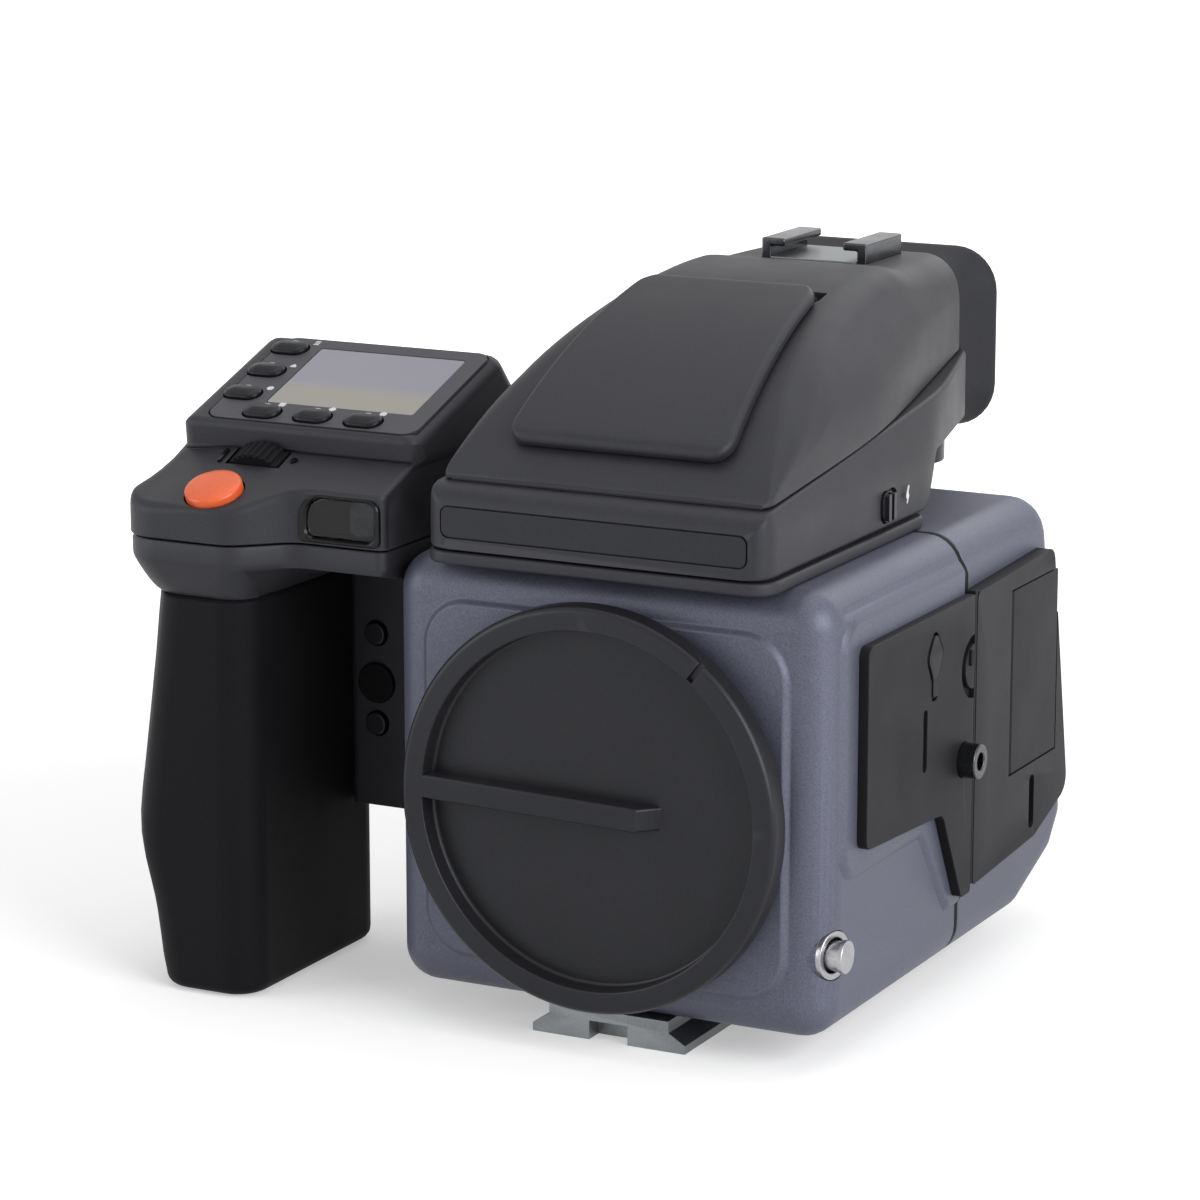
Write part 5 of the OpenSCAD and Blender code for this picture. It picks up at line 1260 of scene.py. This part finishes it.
class CAMERA_OT_eyepiece(bpy.types.Operator):
    """Eyecup, eyepiece lens and dioptre knob"""
    bl_idname = "camera_kit.eyepiece"
    bl_label = "Eyepiece"

    def execute(self, context):
        root, mid = corners_of("eyecup")[0].y, middle_of("eyecup").z
        rings = [level(around(0, mid, w / 2, h / 2, r), root + y, 8) for w, h, r, y in EYECUP_FORM]
        cup = loft("eyecup_flange", rings, on_y, closed=True)
        # The eyecup takes the lit copy of the rubber, greyer as painted light.
        settle(cup, "camera", "lit_cup_rubber", "rubber", "eyecup", angle=50)
        keep("optical_glass", "eyepiece_lens", edge=0.1)
        keep("satin_abs", "dioptre_knob", edge=0.6, segments=3)
        return {"FINISHED"}


# Grip

# The column's outer side: (height, x) up from its foot edge to its brim.
COLUMN_STATIONS = [
    (5, -97.9), (9, -98.4), (14, -99.1), (18, -99.9), (21.5, -100.8), (25, -101.7), (28.8, -102.3),
    (33, -102.35), (38, -101.8), (44, -100.9), (54, -99.5), (66, -97.9), (74, -97.0)]
COLUMN_FOOT_X, COLUMN_BRIM_X, COLUMN_FOOT_EDGE, COLUMN_BRIM_EDGE = -97.4, -96.5, 2.4, 0.8
# The head's left and right ends, and the flank that stands back beside its nose.
HEAD_LEFT, HEAD_RIGHT, FLANK_Y = -99.5, -SIDE, HEAD_LOW.y + 9
HEAD_PLAN = [
    (-97.6, HEAD_HIGH.y, 8), (-98.2, -24, 6), (HEAD_LEFT, HEAD_LOW.y, 9), (-73.3, HEAD_LOW.y, 7),
    (-64.3, FLANK_Y, 7), (HEAD_RIGHT, FLANK_Y, 2), (HEAD_RIGHT, HEAD_HIGH.y, 3)]
# The chin's lower outline, whose corners answer the head's.
CHIN_PLAN = [
    (-95.9, 10, 8), (-95.9, -14, 6), (-95.9, -40.2, 10), (-72.6, -40.2, 6), (-71.4, -3, 3),
    (HEAD_RIGHT, -3, 0.5), (HEAD_RIGHT, 18, 0.5)]
# Side outline of the display housing.
HOUSING = [
    (-23.5, 103.1, 0.3), (HEAD_HIGH.y, 103.1, 0.3), (HEAD_HIGH.y, 111.5, 5), (10.06, 121.48, 4),
    (-24, 109.82, 1.8), (-23.5, 105.1, 0.9)]
# Display keys on the deck: their middles, half sizes, corner radius, and the room round them.
KEY_SITES = [(-88.4, 11.0 + 9.45 * i) for i in range(3)] + [(-80.4 + 11.2 * i, 4.6) for i in range(3)]
KEY_HALF_U, KEY_HALF_V, KEY_R, KEY_ROOM, KEY_WELL_SINK = 3.9, 2.3, 2.25, 0.3, 2.2
# Seat of the bezel on the deck: its lower and upper edge, the room round the bezel, and its depth.
DECK_LOW, DECK_HIGH, DECK_ROOM, DECK_SINK = 1.05, 34.95, 0.35, 0.6
# Floor of the focus light's hollow.
WINDOW_FLOOR = -29.5
# Shutter button and front wheel on the nose's slope, and what turns in the wheels' slots.
SHUTTER, SHUTTER_R, SHUTTER_SINK = (-80.0, 6.4), 5.6, 2.65
WHEEL_X, WHEEL_UP, WHEEL_SUNK = -77.4, 19.24, 5.2
WHEEL_R, WHEEL_HALF, WHEEL_ROOM, WHEEL_GAP = 7.2, 2.6, 0.5, 0.3


def window_outline(room):
    """Outline of the focus light window, larger by the room given."""
    left, right = WINDOW_LOW.x - room, WINDOW_HIGH.x + room
    low, high = WINDOW_LOW.z - room, WINDOW_HIGH.z + room
    return [(left, low, 1.5), (right, low, 1.5), (right, high, 1.5), (left, high, 4)]


class CAMERA_OT_column(bpy.types.Operator):
    """Battery grip's column with its cell"""
    bl_idname = "camera_kit.column"
    bl_label = "Grip column"

    def execute(self, context):
        inner, front, rear = COLUMN_HIGH.x, COLUMN_LOW.y, COLUMN_HIGH.y
        low, high = COLUMN_LOW.z, COLUMN_HIGH.z

        def plan(x):
            cut = [(x, front + 9, 8), (x + 6.5, front, 7)]
            return [(x, rear, 9), *cut, (inner, front, 7), (inner, rear, 7)]

        rings = [level(inset(plan(COLUMN_FOOT_X), d), low + h, 8) for d, h in quarter(COLUMN_FOOT_EDGE, 6)]
        rings += [level(plan(x), z, 8) for z, x in COLUMN_STATIONS]
        for d, h in reversed(quarter(COLUMN_BRIM_EDGE, 6)):
            rings.append(level(inset(plan(COLUMN_BRIM_X), d), high - h, 8))
        column = loft("grip_column", rings)
        cell_low = corners_of("battery_cell")[0]
        room_low = (cell_low.x - 2 * CLEAR, front + 8, cell_low.z)
        carve(column, block("cell_room", room_low, (inner - 3, rear - 6, high + PAST)))
        # The column takes the rubber that is darkened as painted shade.
        settle(column, "battery_grip", "shaded_grip_rubber", "rubber", "battery_grip", angle=40)
        keep("satin_abs", "battery_cell", edge=0.4)
        return {"FINISHED"}


class CAMERA_OT_chin(bpy.types.Operator):
    """Chin under the grip head, which spreads from the column to the head"""
    bl_idname = "camera_kit.chin"
    bl_label = "Grip chin"

    def execute(self, context):
        bottom, top = CHIN_LOW.z, CHIN_HIGH.z
        rim, steps, flare, spread = top - 4.5, 12, 1.3, 0.75
        rings = [level(CHIN_PLAN, bottom, 8)]
        for k in range(1, steps + 1):
            t = (k / steps) ** flare
            outline = between(CHIN_PLAN, inset(HEAD_PLAN, 0.35), t ** spread)
            rings.append(level(outline, bottom + (rim - bottom) * t, 8))
        for d, z in ((0.1, rim + 0.6), (0.0, rim + 1.3), (0.0, top - 0.5), (0.4, top)):
            rings.append(level(inset(HEAD_PLAN, d) if d else HEAD_PLAN, z, 8))
        chin = loft("grip_collar", rings)
        settle(chin, "camera", "grained_abs", "black_plastic", "grip_chin", angle=40)
        return {"FINISHED"}


class CAMERA_OT_head(bpy.types.Operator):
    """Grip head: sloping nose, rear block and display housing, with the seats of its fittings"""
    bl_idname = "camera_kit.head"
    bl_label = "Grip head"

    # Where the nose's wall turns back to the flank, the height of the shelf, and where the nose ends.
    turn_x, shelf, nose_end = -73.6, 107.1, -6.0
    left_r, right_r = 9, 2
    # The nose's dish: its least depth, how much it deepens to the left, from which x and over what run.
    dish_least, dish_more, dish_x, dish_run = 0.4, 1.6, -82, 17
    # The left end draws back by this slope, up to a reach, from an x and over a run.
    draw_slope, draw_reach, draw_x, draw_run = 0.065, 20, -76, 22

    def front(self, x):
        """Front wall of the nose and the flank"""
        wall = HEAD_LOW.y + lesser(ramp(x - self.turn_x, ease=1.1), FLANK_Y - HEAD_LOW.y, ease=1.1)
        return wall + round_in(x, HEAD_LEFT, FAR, self.left_r) + round_in(x, -FAR, HEAD_RIGHT, self.right_r)

    def bend(self, x):
        """Radius of the upper front edge, which is tight beside the shutter button and on the flank"""
        edge, tight, reach, flank_x, flank_run = size("nose_edge"), 1.2, 6, -72, 8
        near = math.exp(-((x - SHUTTER[0]) / reach) ** 2)
        return edge - (edge - tight) * max(near, smooth((x - flank_x) / flank_run))

    def top(self, x, y, t):
        """Height of the nose's dished slope, t of the way back"""
        dish = self.dish_least + self.dish_more * smooth((self.dish_x - x) / self.dish_run)
        fall = round_in(x, HEAD_LEFT, FAR, 3) + round_in(x, -FAR, HEAD_RIGHT, 1)
        slope = NOSE[1] + (y - NOSE[0]) * math.tan(NOSE_SLOPE)
        line = slope - dish * math.sin(math.pi * min(1.15 * t, 1.0))
        return lesser(line, self.shelf, ease=0.3) - fall

    def nose(self):
        """Nose lofted from side to side, with its left end drawn back"""
        low = HEAD_LOW.z

        def drawn(u, v, w):
            back = min(u - HEAD_LOW.y, self.draw_reach) * self.draw_slope
            return (w + back * smooth((self.draw_x - w) / self.draw_run), u, v)

        xs = first_stations(HEAD_LEFT, self.left_r, 12) + [-89.5 + k for k in range(42)]
        xs += last_stations(HEAD_RIGHT, self.right_r, 5)
        rings = []
        for x in xs:
            fore = self.front(x)
            crest = [(fore + (self.nose_end - fore) * t, t) for t in (0.85, 0.7, 0.55, 0.42, 0.3, 0.2)]
            ring = [(fore, low, 0.4), (0, low, 0.1), (0, self.top(x, 0, 1), 0.1)]
            ring += [(y, self.top(x, y, t), 3) for y, t in crest]
            ring.append((fore, self.top(x, fore, 0), self.bend(x)))
            rings.append(level(ring, x, 5))
        return loft("grip_nose", rings, drawn)

    def seam(self):
        """Tool for the fine seam where the housing meets the nose"""
        fore_y, rear_y, line_y, wide = -25.2, -22.6, -23.6, 0.5
        rings = []
        for x in (-98.5, -92, -86, -80, -74, -68, -62, -56, -50, -43):
            inside = min(max(x, HEAD_LEFT + 3.1), HEAD_RIGHT - 2.1)
            fore = self.front(inside)
            z = self.top(inside, line_y, (line_y - fore) / (self.nose_end - fore))
            rings.append([(fore_y, z, x), (rear_y, z, x), (rear_y, z + wide, x), (fore_y, z + wide, x)])
        return loft("seam", rings, on_x)

    def execute(self, context):
        nose = self.nose()
        side_edge = size("housing_edge")
        rump_front, rump_top, rump_edge, housing_left = -16, 107, 2.5, -96.7
        plan = [HEAD_PLAN[0], (-98.2, rump_front, 0.5), (HEAD_RIGHT, rump_front, 0.5), HEAD_PLAN[-1]]
        rump = bar("rump", plan, HEAD_LOW.z, rump_top, 0.4, rump_edge, steps=8)
        housing = bar("housing", HOUSING, housing_left, HEAD_HIGH.x, side_edge, side_edge, on_x, steps=8)
        carve(nose, rump, housing, operation="UNION")
        carve(nose, self.seam())
        wells = []
        for x, y in KEY_SITES:
            well = around(x, y, KEY_HALF_U + KEY_ROOM, KEY_HALF_V + KEY_ROOM, KEY_R + KEY_ROOM)
            wells.append(bar("well", well, -KEY_WELL_SINK, 1, place=on_deck))
        bezel_low, bezel_high = corners_of("lcd_bezel")
        bezel = rect(bezel_low.x - DECK_ROOM, DECK_LOW, bezel_high.x + DECK_ROOM, DECK_HIGH, 3.3)
        wheel_low, wheel_high = corners_of("rear_wheel")
        slot_r, slot_half = WHEEL_R + WHEEL_ROOM, WHEEL_HALF + WHEEL_GAP
        rear_axis = moved(on_z, WHEEL_X, middle_of("rear_wheel").y)
        carve(
            nose,
            bar("bezel_seat", bezel, -DECK_SINK, 3, place=on_deck), *wells,
            rod("shutter_well", moved(on_nose, *SHUTTER), SHUTTER_R + DECK_ROOM, -SHUTTER_SINK, 9, 64),
            rod("wheel_slot", lambda u, v, w: on_nose(u + WHEEL_X, w + WHEEL_UP, v - WHEEL_SUNK),
                slot_r, -slot_half, slot_half, 96),
            rod("rear_slot", rear_axis, slot_r, wheel_low.z - WHEEL_GAP, wheel_high.z + WHEEL_GAP, 96),
            bar("window_seat", window_outline(CLEAR), FLANK_Y - 3, WINDOW_FLOOR, place=on_y))
        settle(nose, "camera", "grained_abs", "black_plastic", "grip_head")
        return {"FINISHED"}


class CAMERA_OT_display(bpy.types.Operator):
    """Grip display with its bezel, six soft keys and the printed signs beside them"""
    bl_idname = "camera_kit.display"
    bl_label = "Grip display"

    # Heights of the keys' foot, edge and crown on the deck, with the radius of their edge.
    key_low, key_high, key_edge, key_crown = -1.35, 1.0, 0.6, 0.4
    sign_low, sign_high = 0.15, 0.26

    def execute(self, context):
        keep("bezel_abs", "lcd_bezel", edge=0.25)
        keep("liquid_crystal", "lcd_window", edge=0.05)
        marks = []
        for i, (x, y) in enumerate(KEY_SITES):
            node = f"display_button_{i + 1}"
            form = around(x, y, KEY_HALF_U, KEY_HALF_V, KEY_R)
            rings = bar_rings(form, self.key_low, self.key_high, 0.0, self.key_edge)
            dome = (0.5, 1.0, 1.6)
            for d in dome:
                rise = self.key_crown * math.sin(math.pi / 2 * d / dome[-1])
                rings.append(level(inset(form, self.key_edge + d), self.key_high + rise))
            key = loft(f"soft_key_{i + 1}", rings, on_deck)
            settle(key, node, "key_abs", "satin_plastic", node, angle=50)
            for shape, dx, dy in self.signs(i):
                outline = [(x + dx + u, y + dy + v, 0.12) for u, v in shape]
                marks.append(bar("mark", outline, self.sign_low, self.sign_high, place=on_deck, steps=3))
        join(marks, "key_signs", "printed_ink", "satin_plastic")
        return {"FINISHED"}

    def signs(self, i):
        """Outlines of the plain signs printed beside a key, with their places"""
        dash = [(-0.6, -0.18), (0.6, -0.18), (0.6, 0.18), (-0.6, 0.18)]
        disc = [(0.75 * math.cos(math.pi * k / 5), 0.75 * math.sin(math.pi * k / 5)) for k in range(10)]
        wedge = [(-0.9, -0.6), (0.9, -0.6), (0.0, 0.9)]
        square = [(-0.7, -0.7), (0.7, -0.7), (0.7, 0.7), (-0.7, 0.7)]
        kite = [(0.0, -0.9), (0.9, 0.0), (0.0, 0.9), (-0.9, 0.0)]
        over = (dash, -0.5, 3.1)
        if i == 2:
            return [over] + [(dash, 4.6, 2.4 + 0.6 * k) for k in range(3)]
        shape = (disc, wedge, None, square, kite, disc)[i]
        return [over, (shape, 4.6, 2.8) if i < 3 else (shape, 2.6, 3.4)]


class CAMERA_OT_focus_light(bpy.types.Operator):
    """Focus light window of the grip: trim, window, reflector, and a near-black floor sheet in the hollow
    that is painted shade
    """
    bl_idname = "camera_kit.focus_light"
    bl_label = "Focus light"

    trim = [(-63.2, 90.8, 1.2), (-45.8, 90.8, 1.2), (-45.8, 99.9, 2.2), (-63.2, 99.9, 6.5)]
    trim_rear, trim_edge, trim_front = FLANK_Y + 0.8, FLANK_Y - 0.4, FLANK_Y - 0.65
    # Thickness of the near-black floor sheet, which is painted shade in the hollow, and how far it stands in
    # from the window's outline.
    trap_thick, trap_shy = 0.9, 0.2
    mirror = rect(-52.8, 92.4, -47.4, 98.8, 1.2)
    mirror_y, mirror_thick, mirror_slope = -33.5, 0.3, 0.4

    def execute(self, context):
        keep("smoked_acrylic", "assist_window", edge=0.2)
        hole = window_outline(CLEAR)
        rings = [
            level(self.trim, self.trim_rear), level(self.trim, self.trim_edge),
            level(inset(self.trim, 0.25), self.trim_front), level(inset(hole, -0.5), self.trim_front),
            level(inset(hole, -0.35), self.trim_front + 0.05), level(hole, self.trim_front + 0.5),
            level(hole, self.trim_rear)]
        surround = loft("window_frame", rings, on_y, closed=True)
        settle(surround, "camera", "gloss_abs", "black_plastic")
        # A near-black sheet on the hollow's floor: painted shade that keeps the window dark round the
        # reflector.
        outline = window_outline(-self.trap_shy)
        floor = bar("hollow_shade", outline, WINDOW_FLOOR - self.trap_thick, WINDOW_FLOOR, place=on_y)
        settle(floor, "camera", "seal_rubber_and_shade", "rubber")
        start = self.mirror[0][0]
        rings = []
        for thick in (0.0, self.mirror_thick):
            rings.append([(u, v, y + self.mirror_slope * (u - start))
                          for u, v, y in level(self.mirror, self.mirror_y + thick)])
        mirror = loft("lamp_reflector", rings, on_y)
        settle(mirror, "camera", "brushed_steel", "silvered_glass", angle=60)
        return {"FINISHED"}


class CAMERA_OT_shutter(bpy.types.Operator):
    """Orange shutter button"""
    bl_idname = "camera_kit.shutter"
    bl_label = "Shutter button"

    def execute(self, context):
        r, low, top, edge, hollow, parts = SHUTTER_R, -1.2, 1.9, 0.7, 0.35, 8
        profile = [(AXIS_R, low), (r, low)] + arc(r - edge, top - 1.1, edge, 0, 75, 5)
        profile += [(r * k / parts, top - hollow * (k / parts) ** 2) for k in (6, 4, 2)] + [(AXIS_R, top)]
        button = lathe("shutter_dome", profile, moved(on_nose, *SHUTTER), 72)
        settle(button, "shutter_button", "orange_abs", "orange_plastic", "shutter_button", angle=50)
        return {"FINISHED"}


class CAMERA_OT_wheels(bpy.types.Operator):
    """Two control wheels, their axles, and beside the front one a near-black line at the slot's left edge,
    which is painted shade, and a near-black triangle at its right
    """
    bl_idname = "camera_kit.wheels"
    bl_label = "Control wheels"

    def execute(self, context):
        keep("shaded_grip_rubber", "front_wheel", "rear_wheel", edge=0.12)
        keep("turned_steel", "wheel_axles", edge=0.1)
        low, high = -0.7, 0.02
        # Near-black marks beside the front wheel's slot: the line at its left edge is painted shade of the
        # slot's edge; the triangle at its right is a dark mark.
        line = rect(-85.4, 16.6, -84.6, 21.0, 0.1)
        dark_triangle = [(-70.0, 17.8, 0.05), (-68.4, 19.4, 0.05), (-70.0, 20.2, 0.05)]
        marks = [bar("sign", outline, low, high, place=on_nose, steps=1) for outline in (line, dark_triangle)]
        join(marks, "wheel_dark_marks", "gloss_abs", "satin_plastic")
        return {"FINISHED"}


class CAMERA_OT_bridge(bpy.types.Operator):
    """Bridge between grip and body with its two buttons and its covered port"""
    bl_idname = "camera_kit.bridge"
    bl_label = "Bridge"

    def execute(self, context):
        keep("grained_abs", "grip_bridge", edge=0.4)
        keep("satin_abs", "mirror_up_button", "stop_down_button", edge=0.4, segments=3)
        keep("shaded_grip_rubber", "remote_port", edge=0.4, segments=3)
        return {"FINISHED"}


class CAMERA_OT_inner(bpy.types.Operator):
    """Pieces inside: lens mount, mirror, screen, prism, sensor, board, card socket and screws"""
    bl_idname = "camera_kit.inner"
    bl_label = "Inner pieces"

    def execute(self, context):
        keep("grained_abs", "mirror_box")
        keep("turned_steel", "lens_mount_ring", "screws", edge=0.1)
        keep("silvered_glass", "reflex_mirror")
        keep("optical_glass", "focusing_screen")
        keep("optical_glass", "pentaprism", edge=0.1)
        keep("screen_glass", "image_sensor", edge=0.05)
        keep("solder_resist", "sensor_board")
        keep("satin_abs", "card_socket", edge=0.2)
        return {"FINISHED"}


# Stage, in metres and watts: each soft box has a name, a place, a point that it faces, a side and a power.
SOFT_BOXES = (
    ("top_box", (0.05, 0.1, 1.0), (0, 0, 0.05), 0.9, 3.0),
    ("left_box", (-0.85, -0.7, 0.35), (0, 0, 0.08), 0.6, 4.0),
    ("right_box", (1.0, -0.35, 0.5), (0, 0, 0.07), 0.8, 12.5),
    ("rear_box", (0.1, 0.95, 0.65), (0, 0, 0.08), 0.7, 2.0))
VIEW_PLACE, VIEW_AIM = (0.3519, -0.7219, 0.2599), (-0.0189, 0.0026, 0.0763)
VIEW_LENS, VIEW_SENSOR = 130.3, 36
FLOOR_REACH, PAPER = 6.0, (*linear("#e2e2e2"), 1)
# The floor's own white, from its level beside the camera to full white far from it.
GLOW_NEAR, GLOW_FAR, GLOW_START, GLOW_END = 0.38, 1.0, 0.15, 0.7
# The surround's light on the camera, and the white that is seen.
SKY_LIGHT, SKY_SEEN = 0.36, 1.0


def backdrop_rays(tree):
    """Output that is 1 for the rays that see the white backdrop, directly, mirrored or through glass."""
    ray = add(tree, "ShaderNodeLightPath")
    seen = ray.outputs["Is Camera Ray"]
    for kind in ("Is Glossy Ray", "Is Transmission Ray"):
        either = add(tree, "ShaderNodeMath", {0: seen, 1: ray.outputs[kind]}, operation="MAXIMUM")
        seen = either.outputs["Value"]
    return seen


class CAMERA_OT_stage(bpy.types.Operator):
    """White floor, soft studio light and the view"""
    bl_idname = "camera_kit.stage"
    bl_label = "Stage"

    def execute(self, context):
        scene = context.scene
        scene.view_settings.view_transform = "Standard"
        self.floor(scene)
        self.world(scene)
        for name, place, aim, side, power in SOFT_BOXES:
            lamp = bpy.data.lights.new(name, "AREA")
            lamp.size = side
            lamp.energy = power
            self.point(scene, name, lamp, place, aim)
        view = bpy.data.cameras.new("view")
        view.sensor_width = VIEW_SENSOR
        view.lens = VIEW_LENS
        scene.camera = self.point(scene, "view", view, VIEW_PLACE, VIEW_AIM)
        return {"FINISHED"}

    def point(self, scene, name, data, place, aim):
        """Puts a lamp or the view in its place, facing its aim"""
        obj = bpy.data.objects.new(name, data)
        scene.collection.objects.link(obj)
        obj.location = place
        obj.rotation_euler = (Vector(aim) - Vector(place)).to_track_quat("-Z", "Y").to_euler()
        return obj

    def floor(self, scene):
        """Pale paper floor that the view sees as white where no shadow falls"""
        low, reach = CAD_BOX[0][2], FLOOR_REACH
        corners = [(-reach, -reach, low), (reach, -reach, low), (reach, reach, low), (-reach, reach, low)]
        mesh = bpy.data.meshes.new("floor")
        mesh.from_pydata(corners, [], [(0, 1, 2, 3)])
        floor = bpy.data.objects.new("floor", mesh)
        scene.collection.objects.link(floor)
        # Matt white paper: an even field that keeps the soft shadow.
        material = bpy.data.materials.new("matt_paper")
        material.use_nodes = True
        tree = material.node_tree
        tree.nodes.clear()
        place = add(tree, "ShaderNodeTexCoord")
        far = add(tree, "ShaderNodeVectorMath", {0: place.outputs["Object"]}, operation="LENGTH")
        fade = add(tree, "ShaderNodeMapRange", {
            "Value": far.outputs["Value"], "From Min": GLOW_START, "From Max": GLOW_END,
            "To Min": GLOW_NEAR, "To Max": GLOW_FAR}, interpolation_type="SMOOTHSTEP")
        strength = add(tree, "ShaderNodeMath", {0: backdrop_rays(tree), 1: fade.outputs["Result"]},
                       operation="MULTIPLY")
        paper = add(tree, "ShaderNodeBsdfDiffuse", {"Color": PAPER})
        glow = add(tree, "ShaderNodeEmission", {"Strength": strength.outputs["Value"]})
        both = add(tree, "ShaderNodeAddShader", {0: paper.outputs["BSDF"], 1: glow.outputs["Emission"]})
        add(tree, "ShaderNodeOutputMaterial", {"Surface": both.outputs["Shader"]})
        mesh.materials.append(material)

    def world(self, scene):
        """White surround with a plain level of light"""
        world = scene.world or bpy.data.worlds.new("studio")
        scene.world = world
        world.use_nodes = True
        tree = world.node_tree
        tree.nodes.clear()
        strength = add(tree, "ShaderNodeMapRange", {
            "Value": backdrop_rays(tree), "To Min": SKY_LIGHT, "To Max": SKY_SEEN})
        sky = add(tree, "ShaderNodeBackground", {
            "Color": (1, 1, 1, 1), "Strength": strength.outputs["Result"]})
        add(tree, "ShaderNodeOutputWorld", {"Surface": sky.outputs["Background"]})


OPERATORS = (
    CAMERA_OT_finishes, CAMERA_OT_body, CAMERA_OT_release, CAMERA_OT_plate, CAMERA_OT_back, CAMERA_OT_rear,
    CAMERA_OT_panels, CAMERA_OT_cap, CAMERA_OT_finder, CAMERA_OT_roof, CAMERA_OT_flash_lid,
    CAMERA_OT_flash_head, CAMERA_OT_shoe, CAMERA_OT_eyepiece, CAMERA_OT_column, CAMERA_OT_chin,
    CAMERA_OT_head, CAMERA_OT_display, CAMERA_OT_focus_light, CAMERA_OT_shutter, CAMERA_OT_wheels,
    CAMERA_OT_bridge, CAMERA_OT_inner, CAMERA_OT_stage)
STEPS = [operator.bl_idname.split(".")[1] for operator in OPERATORS]


class CAMERA_PT_panel(bpy.types.Panel):
    """Sidebar list of the camera's pieces"""
    bl_label = "Medium format camera"
    bl_idname = "CAMERA_PT_panel"
    bl_space_type = "VIEW_3D"
    bl_region_type = "UI"
    bl_category = "Camera"

    def draw(self, context):
        for step in STEPS:
            self.layout.operator(f"camera_kit.{step}")
        for group in (context.scene.camera_sizes, context.scene.camera_colours):
            for key in group.__annotations__:
                self.layout.prop(group, key)


CLASSES = (CameraColours, CameraSizes, *OPERATORS, CAMERA_PT_panel)


def register():
    for cls in CLASSES:
        bpy.utils.register_class(cls)
    bpy.types.Scene.camera_colours = PointerProperty(type=CameraColours)
    bpy.types.Scene.camera_sizes = PointerProperty(type=CameraSizes)


def unregister():
    del bpy.types.Scene.camera_sizes
    del bpy.types.Scene.camera_colours
    for cls in reversed(CLASSES):
        bpy.utils.unregister_class(cls)


def main():
    register()
    for step in STEPS:
        getattr(bpy.ops.camera_kit, step)()


if __name__ == "__main__":
    main()
